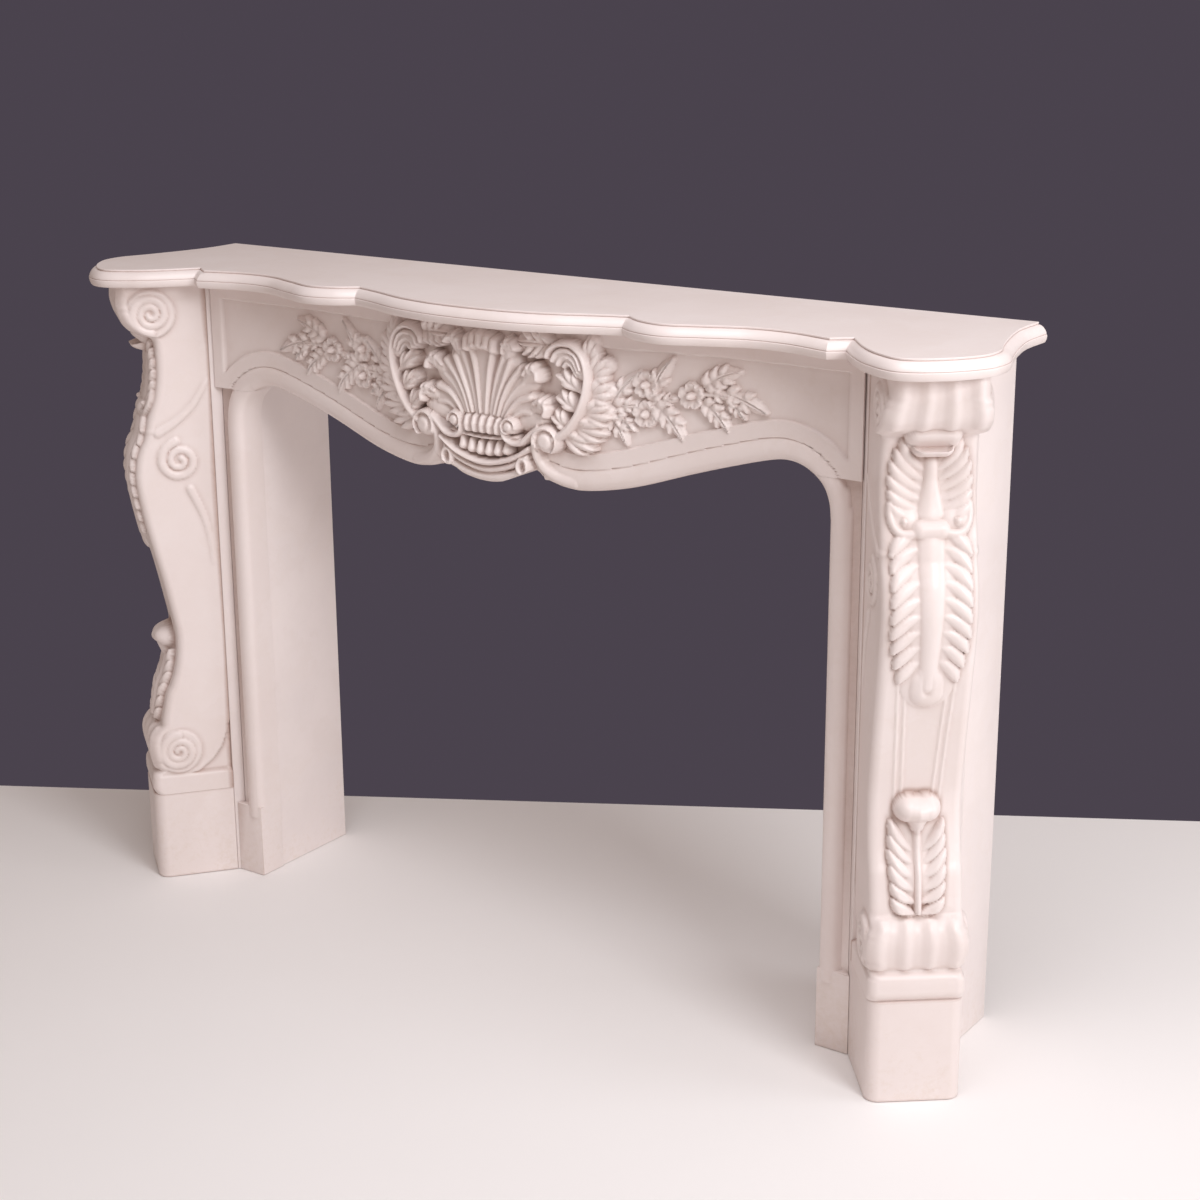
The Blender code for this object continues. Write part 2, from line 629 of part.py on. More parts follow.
def pilaster_plan():
    """Return the plan of the splayed slab behind a console, as (x, depth)."""
    front_inner = CONSOLE_CORNER
    front_outer = CONSOLE_CORNER + SIDE_DIRECTION * PILASTER_WIDTH
    back_inner = front_inner - FRONT_DIRECTION * PILASTER_THICKNESS
    tangent = SIDE_DIRECTION[1] / SIDE_DIRECTION[0]
    back_outer = np.array([front_outer[0], back_inner[1] + (front_outer[0] - back_inner[0]) * tangent])
    return np.array([front_inner, front_outer, back_outer, back_inner])


def make_jamb(hand, material):
    """Build a moulded jamb with its plinth block."""
    side = pilaster_plan()
    inner_back = side[3] - SIDE_DIRECTION * 2.0 * JOINT_GAP
    outer_x = inner_back[0]
    top = FRIEZE_END_HEIGHT - JOINT_GAP
    levels = np.concatenate([[JAMB_FOOT_HEIGHT - 0.020], np.linspace(OPENING_SPRING_HEIGHT, top, 7)])
    corner = ARCH[ARCH[:, 0] > OPENING_HALF_WIDTH - ARCH_CREST_INSET]
    edge = np.interp(levels, corner[::-1, 1], corner[::-1, 0])
    across = np.linspace(0.0, 1.0, 11)
    rings = []
    for level, start in zip(levels, edge):
        x = start + (outer_x - start) * across
        depth = jamb_depth(x, np.full_like(x, level))
        x = np.concatenate([x, [outer_x, start]])
        depth = np.concatenate([depth, [BACK_DEPTH, BACK_DEPTH]])
        rings.append(to_world(hand * x, depth, np.full_like(x, level)))
    stile = add_object(side_name(hand, "jamb"), loft(rings), material)
    front = CONSOLE_CORNER - SIDE_DIRECTION * 2.0 * JOINT_GAP
    front_right = front - FRONT_DIRECTION * (front[1] - FACE_DEPTH) / FRONT_DIRECTION[1]
    foot_plan = [
        (OPENING_HALF_WIDTH, BACK_DEPTH),
        (OPENING_HALF_WIDTH, FACE_DEPTH),
        front_right,
        inner_back,
        (outer_x, BACK_DEPTH),
    ]
    foot = add_object("foot cutter", prism(mirrored(foot_plan, hand), 0.0, JAMB_FOOT_HEIGHT), material)
    unite(stile, foot)
    return stile


def unite(target, other):
    """Join another solid to the target as one solid."""
    modifier = target.modifiers.new("Union", "BOOLEAN")
    modifier.operation = "UNION"
    modifier.solver = "EXACT"
    modifier.object = other
    graph = bpy.context.evaluated_depsgraph_get()
    mesh = bpy.data.meshes.new_from_object(target.evaluated_get(graph))
    target.modifiers.clear()
    target.data = mesh
    bpy.data.objects.remove(other)


def side_name(hand, name):
    """Return a node's name for the left or the right side."""
    return ("left_" if hand < 0 else "right_") + name


def console_profile():
    """Return the console's bare front edge as (reach, height), from top to bottom."""
    low = CONSOLE_PLINTH_HEIGHT + JOINT_GAP
    tall = BLOCK_TOP - low
    roll = CONSOLE_ROLL_REACH
    neck = CONSOLE_NECK_REACH
    belly = CONSOLE_BELLY_REACH
    waist = CONSOLE_WAIST_REACH
    foot = CONSOLE_FOOT_REACH
    torus = CONSOLE_TORUS_REACH
    knots = [
        (roll - 0.003, 1.000), (roll - 0.0005, 0.980), (roll, 0.960), (roll - 0.0065, 0.935),
        (roll - 0.0165, 0.921), (roll - 0.0285, 0.911), (neck + 0.013, 0.904), (neck + 0.001, 0.894),
        (neck - 0.001, 0.867), (neck, 0.834), (neck + 0.003, 0.807), (neck + 0.009, 0.779),
        (neck + 0.0195, 0.746), (neck + 0.0245, 0.724), (belly - 0.018, 0.709), (belly - 0.010, 0.691),
        (belly - 0.0045, 0.675), (belly - 0.001, 0.653), (belly, 0.630), (belly - 0.004, 0.592),
        (belly - 0.013, 0.538), (waist + 0.0275, 0.483), (waist + 0.0185, 0.439),
        (waist + 0.0085, 0.384), (waist, 0.329), (waist + 0.0005, 0.285), (foot - 0.022, 0.248),
        (foot - 0.0135, 0.221), (foot - 0.006, 0.203), (foot, 0.175), (foot + 0.0045, 0.151),
        (foot + 0.0065, 0.138), (torus - 0.012, 0.128), (torus - 0.005, 0.117),
        (torus - 0.0015, 0.101), (torus - 0.0025, 0.082), (torus - 0.007, 0.060),
        (torus - 0.0125, 0.0485), (torus - 0.003, 0.0414), (torus - 0.0005, 0.0326),
        (torus, 0.0216), (torus - 0.0005, 0.0106), (torus - 0.006, 0.000),
    ]
    return [(reach, low + share * tall) for reach, share in knots]


def console_front_ridges():
    """Return the ridges carved on the console's front, as (across, height)."""
    low = CONSOLE_PLINTH_HEIGHT
    tall = BLOCK_TOP - low
    half = CONSOLE_HALF_WIDTH
    rise = LEAF_RELIEF

    def place(across, up):
        return np.array([across * half, low + up * tall])

    ridges = [petal(place(0.0, 0.765), place(0.0, 0.900), 0.014, rise * 1.2)]
    ridges.append((np.array([place(-0.26, 0.900), place(0.26, 0.900)]), 0.0135, rise * 3.0))
    ridges.append((np.array([place(-0.20, 0.760), place(0.20, 0.760)]), 0.0155, rise * 1.8))
    ridges.append((np.array([place(0.0, 0.748), place(0.0, 0.50)]), [0.020, 0.012], rise * 1.2))
    ridges.append((np.array([place(0.0, 0.515), place(0.0, 0.495)]), 0.022, rise * 1.1))
    ridges.append((np.array([place(-0.26, 0.316), place(0.26, 0.316)]), 0.0175, rise * 3.3))
    ridges.append((np.array([place(0.0, 0.30), place(0.0, 0.165)]), 0.030, rise * 1.15))
    ridges.append((np.array([place(0.0, 0.30), place(0.0, 0.145)]), [0.009, 0.005], rise * 1.5))
    for hand in (-1.0, 1.0):
        for i in range(6):
            share = i / 5
            root = place(hand * 0.14, 0.775 + 0.085 * share)
            tip = place(hand * (0.76 - 0.32 * share**2), 0.800 + 0.105 * share)
            ridges.append(petal(root, tip, 0.0095, rise * 1.15, -0.16 * hand))
        curl = spiral(place(hand * 0.56, 0.767), 0.013, 1.0, 0.0, hand, 0.0065, rise * 1.6)
        ridges.append(curl)
        for i in range(12):
            share = i / 11
            root = place(hand * 0.20, 0.755 - 0.225 * share)
            tip = place(hand * (0.78 - 0.24 * share**3), 0.727 - 0.222 * share)
            ridges.append(petal(root, tip, 0.0092, rise * 1.05, 0.18 * hand))
        for i in range(5):
            share = i / 4
            root = place(hand * 0.08, 0.255 - 0.105 * share)
            tip = place(hand * (0.60 - 0.06 * share), 0.292 - 0.120 * share)
            ridges.append(petal(root, tip, 0.0115, rise * 1.5, -0.14 * hand))
    return ridges


def console_side_height(reach, z):
    """Return the relief of the console's side face, with its three volutes and the hollow above its foot."""
    low = CONSOLE_PLINTH_HEIGHT
    tall = BLOCK_TOP - low
    upper = (CONSOLE_ROLL_REACH * 0.645, low + tall * 0.946)
    middle = (CONSOLE_BELLY_REACH * 0.44, low + tall * 0.667)
    lower = (CONSOLE_TORUS_REACH * 0.655, low + tall * 0.087)
    disc = np.maximum(
        soft_step(0.041 - np.hypot(reach - upper[0], z - upper[1]), 0.0, 0.005),
        soft_step(0.040 - np.hypot(reach - lower[0], z - lower[1]), 0.0, 0.005),
    )
    ridges = [
        spiral(upper, 0.032, 2.0, -math.pi / 2, 1.0, 0.008, VOLUTE_RELIEF),
        spiral(middle, 0.034, 1.7, math.pi * 0.9, -1.0, 0.008, VOLUTE_RELIEF),
        spiral(lower, 0.031, 2.0, math.pi / 2, -1.0, 0.008, VOLUTE_RELIEF),
    ]
    torus = soft_step(low + tall * 0.0375 - z, 0.0, 0.004)
    reaches = CONSOLE_TORUS_REACH * np.array([0.0, 0.035, 0.11, 0.23, 0.415, 0.62, 1.0])
    levels = low + tall * np.array([0.138, 0.120, 0.0875, 0.0625, 0.0405, 0.0335, 0.030])
    hollow = soft_step(np.interp(reach, reaches, levels) - z, 0.0, 0.005) * (1.0 - torus) * (1.0 - disc)
    plain = disc * VOLUTE_DISC_RISE + torus * CONSOLE_TORUS_RISE - hollow * CONSOLE_FOOT_RECESS
    return plain + carve(reach, z, ridges)


def console_flutes(across, z):
    """Return the flutes of the console's upper and lower rolls."""
    low = CONSOLE_PLINTH_HEIGHT
    tall = BLOCK_TOP - low
    upper = soft_step(z, low + tall * 0.915, 0.010)
    lower = soft_step(z, low + tall * 0.052, 0.006) * soft_step(low + tall * 0.134 - z, 0.0, 0.006)
    half = CONSOLE_HALF_WIDTH - CONSOLE_BODY_INSET
    wave = np.abs(np.sin(across / half * math.pi * 2.0))
    return CONSOLE_FLUTE_RISE * wave * np.maximum(upper, lower)


def console_rings():
    """Return the console's closed rings in its own frame, from the top to the foot."""
    profile = smooth_curve(console_profile(), 6)
    lengths = np.concatenate([[0.0], np.cumsum(np.hypot(*np.diff(profile, axis=0).T))])
    samples = np.linspace(0.0, lengths[-1], int(lengths[-1] / CARVED_STEP) + 1)
    reach = np.interp(samples, lengths, profile[:, 0])
    height = np.interp(samples, lengths, profile[:, 1])
    slope = np.stack([np.gradient(reach), np.gradient(height)], axis=1)
    slope /= np.linalg.norm(slope, axis=1)[:, None]
    half = CONSOLE_HALF_WIDTH - CONSOLE_BODY_INSET
    radius = CONSOLE_EDGE_RADIUS
    turn = np.linspace(0.0, math.pi / 2, 4)
    edge = radius * (1.0 - np.cos(turn)) - half
    flat = np.linspace(radius - half, half - radius, int(2 * (half - radius) / CARVED_STEP) + 1)[1:-1]
    set_back = radius * (1.0 - np.sin(turn))
    set_back = np.concatenate([set_back, np.zeros_like(flat), set_back[::-1]])
    across, z = np.meshgrid(np.concatenate([edge, flat, -edge[::-1]]), height)
    lift = carve(across, z, console_front_ridges()) + console_flutes(across, z)
    front_reach = reach[:, None] - set_back - slope[:, 1:] * lift
    front_z = z + slope[:, :1] * lift
    share = np.linspace(0.0, 1.0, 26)[:-1]
    back_z = np.linspace(height[0], height[-1], len(height))
    side_reach = (reach - radius)[:, None] * share
    side_z = back_z[:, None] + (height - back_z)[:, None] * share
    swell = half + console_side_height(side_reach, side_z)
    spread = 1.0 + console_side_height(reach - radius, height) / half
    side_reach[:, 0] = -TRIM_MARGIN
    u = np.concatenate([-swell, across * spread[:, None], swell[:, ::-1]], axis=1)
    d = np.concatenate([side_reach, front_reach, side_reach[:, ::-1]], axis=1)
    z = np.concatenate([side_z, front_z, side_z[:, ::-1]], axis=1)
    z[0] += TRIM_MARGIN
    z[-1] -= TRIM_MARGIN
    return np.stack([u, -d, z], axis=2)


def make_console_mesh():
    """Build the carved console upright in its own frame, its back on the plane y = 0."""
    bm = thin_out(loft(console_rings()), CONSOLE_TRIANGLES)
    trim(bm, (0.0, 0.0, BLOCK_TOP), (0.0, 0.0, 1.0))
    trim(bm, (0.0, 0.0, CONSOLE_PLINTH_HEIGHT + JOINT_GAP), (0.0, 0.0, -1.0))
    trim(bm, (0.0, -JOINT_GAP, 0.0), (0.0, 1.0, 0.0))
    return bm


def splayed(obj, hand):
    """Stand an object of the console's own frame at its place on one side."""
    obj.location = (hand * CONSOLE_ORIGIN[0], WALL_Y - CONSOLE_ORIGIN[1], 0.0)
    obj.rotation_euler = (0.0, 0.0, hand * SPLAY)
    return obj


def make_console(hand, source, material):
    """Build one console from the shared carved mesh."""
    return splayed(add_object(side_name(hand, "console"), source.copy(), material), hand)


def make_console_plinth(hand, material):
    """Build the plain block under a console, with rounded front corners."""
    half = CONSOLE_HALF_WIDTH
    radius = CONSOLE_PLINTH_CORNER
    turn = np.linspace(0.0, math.pi / 2, 6)
    across = radius * (1.0 - np.cos(turn)) - half
    reach = CONSOLE_PLINTH_DEPTH - radius * (1.0 - np.sin(turn))
    left = np.stack([across, reach], axis=1)
    right = left[::-1] * [-1.0, 1.0]
    plan = np.vstack([[(-half, JOINT_GAP)], left, right, [(half, JOINT_GAP)]])
    rings = []
    for level in (0.0, CONSOLE_PLINTH_HEIGHT):
        rings.append(np.stack([plan[:, 0], -plan[:, 1], np.full(len(plan), level)], axis=1))
    return splayed(add_object(side_name(hand, "console_plinth"), loft(rings), material), hand)


def make_pilaster(hand, material):
    """Build the splayed slab behind a console."""
    plan = mirrored(pilaster_plan(), hand)
    return add_object(side_name(hand, "pilaster"), prism(plan, 0.0, BLOCK_TOP), material)


def make_returns(hand, material):
    """Build the two slabs that run back to the wall on one side."""
    inner = OPENING_HALF_WIDTH + INNER_RETURN_INSET
    inner_depth = BACK_DEPTH - JOINT_GAP
    plan = [(inner, 0.0), (inner, inner_depth), (inner + RETURN_THICKNESS, inner_depth)]
    plan.append((inner + RETURN_THICKNESS, 0.0))
    outer = pilaster_plan()[2] - [0.0, JOINT_GAP]
    inside = outer[0] - RETURN_THICKNESS
    outer_plan = [(inside, 0.0), (inside, outer[1]), (outer[0], outer[1]), (outer[0], 0.0)]
    for name, outline in (("inner_return", plan), ("outer_return", outer_plan)):
        slab = prism(mirrored(outline, hand), 0.0, BLOCK_TOP)
        add_object(side_name(hand, name), slab, material)


def main():
    """Clear the scene and build every piece."""
    for obj in list(bpy.data.objects):
        bpy.data.objects.remove(obj)
    stone = new_material("cream stone", (0.80, 0.71, 0.67), 0.45)
    shade = new_material("shaded cream stone", (0.76, 0.67, 0.63), 0.50)
    make_shelf(stone)
    make_frieze(stone)
    console = make_console_mesh()
    for hand in (-1.0, 1.0):
        make_console(hand, console, stone)
        make_console_plinth(hand, stone)
        make_pilaster(hand, shade)
        make_jamb(hand, stone)
        make_returns(hand, shade)
    console.free()
    bpy.context.view_layer.update()


main()
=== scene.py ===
"""Looks of a carved stone fireplace mantel.

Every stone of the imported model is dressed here: the finely carved frieze and
consoles, the moulded shelf, jambs and plinths, and the plain slabs behind them.
The origin is on the floor under the middle of the mantel, +X is its right hand
seen from the room, -Y faces the room and +Z is up. All sizes are in metres.
"""

from __future__ import annotations

import logging
import math
from dataclasses import dataclass, field
from enum import Enum
from typing import Any, Sequence

import bmesh
import bpy
import numpy as np
from mathutils import Matrix, Vector


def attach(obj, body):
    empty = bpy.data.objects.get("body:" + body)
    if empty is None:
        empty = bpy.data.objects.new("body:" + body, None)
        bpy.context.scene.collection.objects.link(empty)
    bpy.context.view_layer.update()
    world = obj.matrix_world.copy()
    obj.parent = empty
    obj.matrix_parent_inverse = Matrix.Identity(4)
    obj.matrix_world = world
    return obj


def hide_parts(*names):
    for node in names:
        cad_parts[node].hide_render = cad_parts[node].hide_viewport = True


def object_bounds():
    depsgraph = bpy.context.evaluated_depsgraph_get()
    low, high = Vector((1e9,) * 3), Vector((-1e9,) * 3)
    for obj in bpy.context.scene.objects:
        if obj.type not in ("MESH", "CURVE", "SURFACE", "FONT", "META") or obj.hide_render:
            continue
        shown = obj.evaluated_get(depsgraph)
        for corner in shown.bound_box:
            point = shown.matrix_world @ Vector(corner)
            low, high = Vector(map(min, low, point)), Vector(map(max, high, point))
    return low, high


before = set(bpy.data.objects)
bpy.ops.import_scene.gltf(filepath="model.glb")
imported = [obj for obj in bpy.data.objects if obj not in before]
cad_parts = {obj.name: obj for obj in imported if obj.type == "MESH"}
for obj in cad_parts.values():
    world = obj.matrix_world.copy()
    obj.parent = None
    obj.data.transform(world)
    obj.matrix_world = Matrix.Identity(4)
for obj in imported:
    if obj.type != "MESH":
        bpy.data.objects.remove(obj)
CAD_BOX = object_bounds()

log = logging.getLogger("mantel")

Place = Sequence[float]
Points = Sequence[Place]
HANDS = (-1.0, 1.0)


# Shader graphs


class Signal:
    """A number or colour on a shader socket that Python expressions combine."""

    def __init__(self, graph: "Graph", socket: bpy.types.NodeSocket) -> None:
        """Wrap one output socket of a graph."""
        self.graph = graph
        self.socket = socket

    def _math(self, operation: str, first: Any, second: Any) -> "Signal":
        """Add one Math node."""
        node = self.graph.node("ShaderNodeMath", {"operation": operation}, {0: first, 1: second})
        return Signal(self.graph, node.outputs[0])

    def __add__(self, other: Any) -> "Signal":
        """Add another signal or a number."""
        return self._math("ADD", self, other)

    def __sub__(self, other: Any) -> "Signal":
        """Take away another signal or a number."""
        return self._math("SUBTRACT", self, other)

    def __rsub__(self, other: Any) -> "Signal":
        """Take this signal away from a number."""
        return self._math("SUBTRACT", other, self)

    def __mul__(self, other: Any) -> "Signal":
        """Multiply by another signal or a number."""
        return self._math("MULTIPLY", self, other)

    def __truediv__(self, other: Any) -> "Signal":
        """Divide by another signal or a number."""
        return self._math("DIVIDE", self, other)

    def clamped(self) -> "Signal":
        """Keep the signal between 0 and 1."""
        low = self._math("MAXIMUM", self, 0.0)
        return low._math("MINIMUM", low, 1.0)

    __radd__ = __add__
    __rmul__ = __mul__


class Graph:
    """The node tree of one material, with its Principled shader."""

    def __init__(self, name: str) -> None:
        """Start a material that has only its shader and output."""
        self.material = bpy.data.materials.new(name)
        self.material.use_nodes = True
        self.tree = self.material.node_tree
        self.shader = self.tree.nodes["Principled BSDF"]

    def feed(self, socket: bpy.types.NodeSocket, value: Any) -> None:
        """Link a signal to a socket, or set the socket's own value."""
        if isinstance(value, Signal):
            value = value.socket
        if isinstance(value, bpy.types.NodeSocket):
            self.tree.links.new(value, socket)
        else:
            socket.default_value = value

    def node(self, kind: str, settings: dict[str, Any], sockets: dict[Any, Any]) -> bpy.types.Node:
        """Add a node of any type.

        Args:
            kind: The node's type name.
            settings: The node's own properties, and "stops" for a colour ramp.
            sockets: Values or signals by socket name or number.

        Returns:
            The new node.
        """
        made = self.tree.nodes.new(kind)
        for key, value in settings.items():
            if key == "stops":
                ramp = made.color_ramp
                while len(ramp.elements) < len(value):
                    ramp.elements.new(1.0)
                for element, (place, level) in zip(ramp.elements, value):
                    element.position = place
                    element.color = (level, level, level, 1.0)
            else:
                setattr(made, key, value)
        for key, value in sockets.items():
            self.feed(made.inputs[key], value)
        return made

    def signal(self, kind: str, settings: dict[str, Any], sockets: dict[Any, Any], output: Any = 0) -> Signal:
        """Add a node and return one of its outputs as a signal."""
        return Signal(self, self.node(kind, settings, sockets).outputs[output])

    def blend(self, first: Any, second: Any, factor: Any) -> Signal:
        """Mix two colours by a factor."""
        settings = {"data_type": "RGBA"}
        return self.signal("ShaderNodeMix", settings, {0: factor, 6: first, 7: second}, 2)

    def ramp(self, factor: Any, stops: Sequence[tuple[float, float]]) -> Signal:
        """Send a signal through a grey ramp."""
        return self.signal("ShaderNodeValToRGB", {"stops": stops}, {"Fac": factor})


Colour = tuple[float, float, float]


def rgba(colour: Colour) -> tuple[float, float, float, float]:
    """Return a colour with full alpha."""
    return (*colour, 1.0)


@dataclass(frozen=True)
class StoneFinish:
    """A pale, honed stone: cloudy colour, faint veins, painted shade in the recesses.

    Args:
        name: The material's name.
        slot: The record's material slot.
        tone: The stone's main colour.
        cloud: The colour of its soft clouds.
        painted_shade: The colour of the shade painted into recesses, grooves and valleys, also used for the
            dark joint lines.
        stain: The warm colour of old water marks near the floor.
        roughness: The finish of the open faces.
        stain_height: How high the marks reach above the floor.
        cloud_scale: How many clouds lie in a metre.
        grain_scale: How many grains lie in a metre.
        speck_scale: How many specks lie in a metre.
        vein_scale: How many veins lie in a metre.
        grain_depth: The depth of the grain.
    """

    name: str
    slot: str
    tone: Colour = (0.830, 0.735, 0.705)
    cloud: Colour = (0.870, 0.785, 0.760)
    painted_shade: Colour = (0.47, 0.325, 0.275)
    stain: Colour = (0.62, 0.47, 0.33)
    roughness: float = 0.36
    stain_height: float = 0.19
    cloud_scale: float = 5.5
    grain_scale: float = 95.0
    speck_scale: float = 420.0
    vein_scale: float = 2.6
    grain_depth: float = 0.0006

    def build(self) -> bpy.types.Material:
        """Build the material."""
        graph = Graph(self.name)
        place = graph.signal("ShaderNodeTexCoord", {}, {}, "Object")
        clouds = self._noise(graph, place, self.cloud_scale, 6.0, 0.62)
        grain = self._noise(graph, place, self.grain_scale, 4.0, 0.70)
        speck = self._noise(graph, place, self.speck_scale, 2.0, 0.60)
        wander = {"Vector": self._warped(graph, place, clouds), "Scale": self.vein_scale, "Detail": 5.0}
        vein = graph.signal("ShaderNodeTexNoise", {}, wander)
        vein = graph.ramp(vein, ((0.46, 0.0), (0.50, 1.0), (0.54, 0.0)))
        # The recess attribute holds the painted shade of hollows, grooves and valleys, and the dark joint
        # lines.
        recess = graph.signal("ShaderNodeAttribute", {"attribute_name": "recess"}, {}, "Fac").clamped()

        patches = graph.ramp(clouds, ((0.36, 0.0), (0.66, 1.0)))
        colour = graph.blend(rgba(self.tone), rgba(self.cloud), patches)
        colour = graph.blend(colour, rgba(self.stain), vein * 0.045 + grain * 0.05)
        colour = graph.blend(colour, rgba(self.stain), self._stains(graph, place, clouds, grain))
        # Painted shade: hollows, grooves and valleys darken towards the painted_shade colour, and the dark
        # joint lines use it too.
        colour = graph.blend(colour, rgba(self.painted_shade), recess * (grain * 0.5 + 0.62).clamped())
        roughness = (grain - 0.5) * 0.14 + recess * 0.30 + self.roughness
        height = grain * 0.6 + speck * 0.4
        relief = {"Strength": 0.16, "Distance": self.grain_depth, "Height": height}
        bump = graph.node("ShaderNodeBump", {}, relief)
        graph.feed(graph.shader.inputs["Base Color"], colour)
        graph.feed(graph.shader.inputs["Roughness"], roughness.clamped())
        graph.feed(graph.shader.inputs["Normal"], bump.outputs[0])
        graph.feed(graph.shader.inputs["Specular IOR Level"], 0.5)
        graph.material.diffuse_color = rgba(self.tone)
        return graph.material

    @staticmethod
    def _noise(graph: Graph, place: Signal, scale: float, detail: float, rough: float) -> Signal:
        """Add a noise texture over the object's own space."""
        sockets = {"Vector": place, "Scale": scale, "Detail": detail, "Roughness": rough}
        return graph.signal("ShaderNodeTexNoise", {}, sockets, 0)

    @staticmethod
    def _warped(graph: Graph, place: Signal, clouds: Signal) -> Signal:
        """Bend the object's space so that the veins wander."""
        push = graph.signal("ShaderNodeCombineXYZ", {}, {0: clouds * 0.7, 1: clouds * 0.4, 2: clouds * 0.9})
        settings = {"operation": "ADD"}
        return graph.signal("ShaderNodeVectorMath", settings, {0: place, 1: push})

    def _stains(self, graph: Graph, place: Signal, clouds: Signal, grain: Signal) -> Signal:
        """Return where faint warm marks lie, low down on the stone."""
        split = graph.node("ShaderNodeSeparateXYZ", {}, {0: place})
        height = Signal(graph, split.outputs[2])
        low = (1.0 - height / self.stain_height).clamped()
        patches = graph.ramp(clouds * 0.55 + grain * 0.45, ((0.50, 0.0), (0.66, 1.0)))
        return low * patches * 0.30


@dataclass(frozen=True)
class FloorFinish:
    """A plain pale matt floor."""

    tone: Colour = (0.91, 0.885, 0.87)
    roughness: float = 0.75

    def build(self) -> bpy.types.Material:
        """Build the material."""
        graph = Graph("pale floor")
        place = graph.signal("ShaderNodeTexCoord", {}, {}, "Object")
        soft = graph.signal("ShaderNodeTexNoise", {}, {"Vector": place, "Scale": 1.4, "Detail": 3.0}, 0)
        lighter = tuple(min(1.0, part * 1.04) for part in self.tone)
        graph.feed(graph.shader.inputs["Base Color"], graph.blend(rgba(self.tone), rgba(lighter), soft))
        graph.feed(graph.shader.inputs["Roughness"], self.roughness)
        return graph.material


# Curves and carving


def smooth_curve(points: Points, steps: int = 8) -> np.ndarray:
    """Return points along a smooth curve that passes through the given ones.

    Args:
        points: The places that the curve passes through.
        steps: How many points each span gets.

    Returns:
        The curve's points, one row each.
    """
    knots = np.asarray(points, dtype=float)
    padded = np.vstack([2.0 * knots[0] - knots[1], knots, 2.0 * knots[-1] - knots[-2]])
    t = np.linspace(0.0, 1.0, steps, endpoint=False)[:, None]
    spans = []
    for a, b, c, d in zip(padded, padded[1:], padded[2:], padded[3:]):
        cubic = -a + 3.0 * b - 3.0 * c + d
        square = 2.0 * a - 5.0 * b + 4.0 * c - d
        spans.append(0.5 * (2.0 * b + (c - a) * t + square * t**2 + cubic * t**3))
    spans.append(knots[-1:])
    return np.vstack(spans)


def bent_line(start: Place, end: Place, bend: float, count: int) -> np.ndarray:
    """Return points along an arc-like line.

    Args:
        start: Where it starts.
        end: Where it ends.
        bend: How far its middle knot lies aside, as a share of its length.
        count: How many points it has.

    Returns:
        The points, one row each.
    """
    first = np.asarray(start, dtype=float)
    last = np.asarray(end, dtype=float)
    along = last - first
    middle = 0.5 * (first + last) + bend * np.array([-along[1], along[0]])
    t = np.linspace(0.0, 1.0, count)[:, None]
    return (1 - t) ** 2 * first + 2 * t * (1 - t) * middle + t**2 * last


def soft_step(value: np.ndarray, edge: float, width: float) -> np.ndarray:
    """Rise from 0 to 1 as the value passes the edge, over the given width."""
    t = np.clip((value - edge) / width + 0.5, 0.0, 1.0)
    return t * t * (3.0 - 2.0 * t)


class Section(Enum):
    """The cross-section of one carved ridge."""

    ROUND = "round"
    CREASED = "creased"
    CUPPED = "cupped"
    RIBBON = "ribbon"

    def shape(self, gap: np.ndarray) -> np.ndarray:
        """Return the height over the ridge, as a share of its rise.

        Args:
            gap: The distance from the middle line, as a share of the half width.

        Returns:
            The height, 0 at the edges.
        """
        dome = np.sqrt(np.clip(1.0 - gap**2, 0.0, 1.0))
        if self is Section.CREASED:
            return dome * (1.0 - 0.34 * np.exp(-((gap / 0.22) ** 2)))
        if self is Section.CUPPED:
            return np.clip(1.0 - gap**8, 0.0, 1.0) * (0.62 + 0.38 * gap**2)
        if self is Section.RIBBON:
            return np.clip(1.0 - gap**6, 0.0, 1.0)
        return dome


@dataclass(frozen=True)
class Ridge:
    """One raised stroke of the chisel along a path.

    Args:
        path: Places in the plane of the carved face, one row each.
        radius: The half width, one value or one for each place.
        rise: The height, one value or one for each place.
        section: The cross-section.
    """

    path: np.ndarray
    radius: Any
    rise: Any
    section: Section = Section.ROUND

    def raise_over(self, u: np.ndarray, v: np.ndarray, height: np.ndarray) -> None:
        """Lift a height field to this ridge where the ridge stands higher."""
        path = np.asarray(self.path, dtype=float)
        radius = np.broadcast_to(self.radius, len(path))
        rise = np.broadcast_to(self.rise, len(path))
        reach = radius.max()
        low = path.min(axis=0) - reach
        high = path.max(axis=0) + reach
        near = (u > low[0]) & (u < high[0]) & (v > low[1]) & (v < high[1])
        un = u[near]
        vn = v[near]
        closest = np.ones_like(un)
        proud = np.zeros_like(un)
        for i in range(len(path) - 1):
            start = path[i]
            along = path[i + 1] - start
            length = max(float(along @ along), 1e-12)
            t = np.clip(((un - start[0]) * along[0] + (vn - start[1]) * along[1]) / length, 0.0, 1.0)
            gap = np.hypot(un - start[0] - t * along[0], vn - start[1] - t * along[1])
            gap /= radius[i] + (radius[i + 1] - radius[i]) * t
            nearer = gap < closest
            closest = np.where(nearer, gap, closest)
            proud = np.where(nearer, rise[i] + (rise[i + 1] - rise[i]) * t, proud)
        height[near] = np.maximum(height[near], proud * self.section.shape(closest))


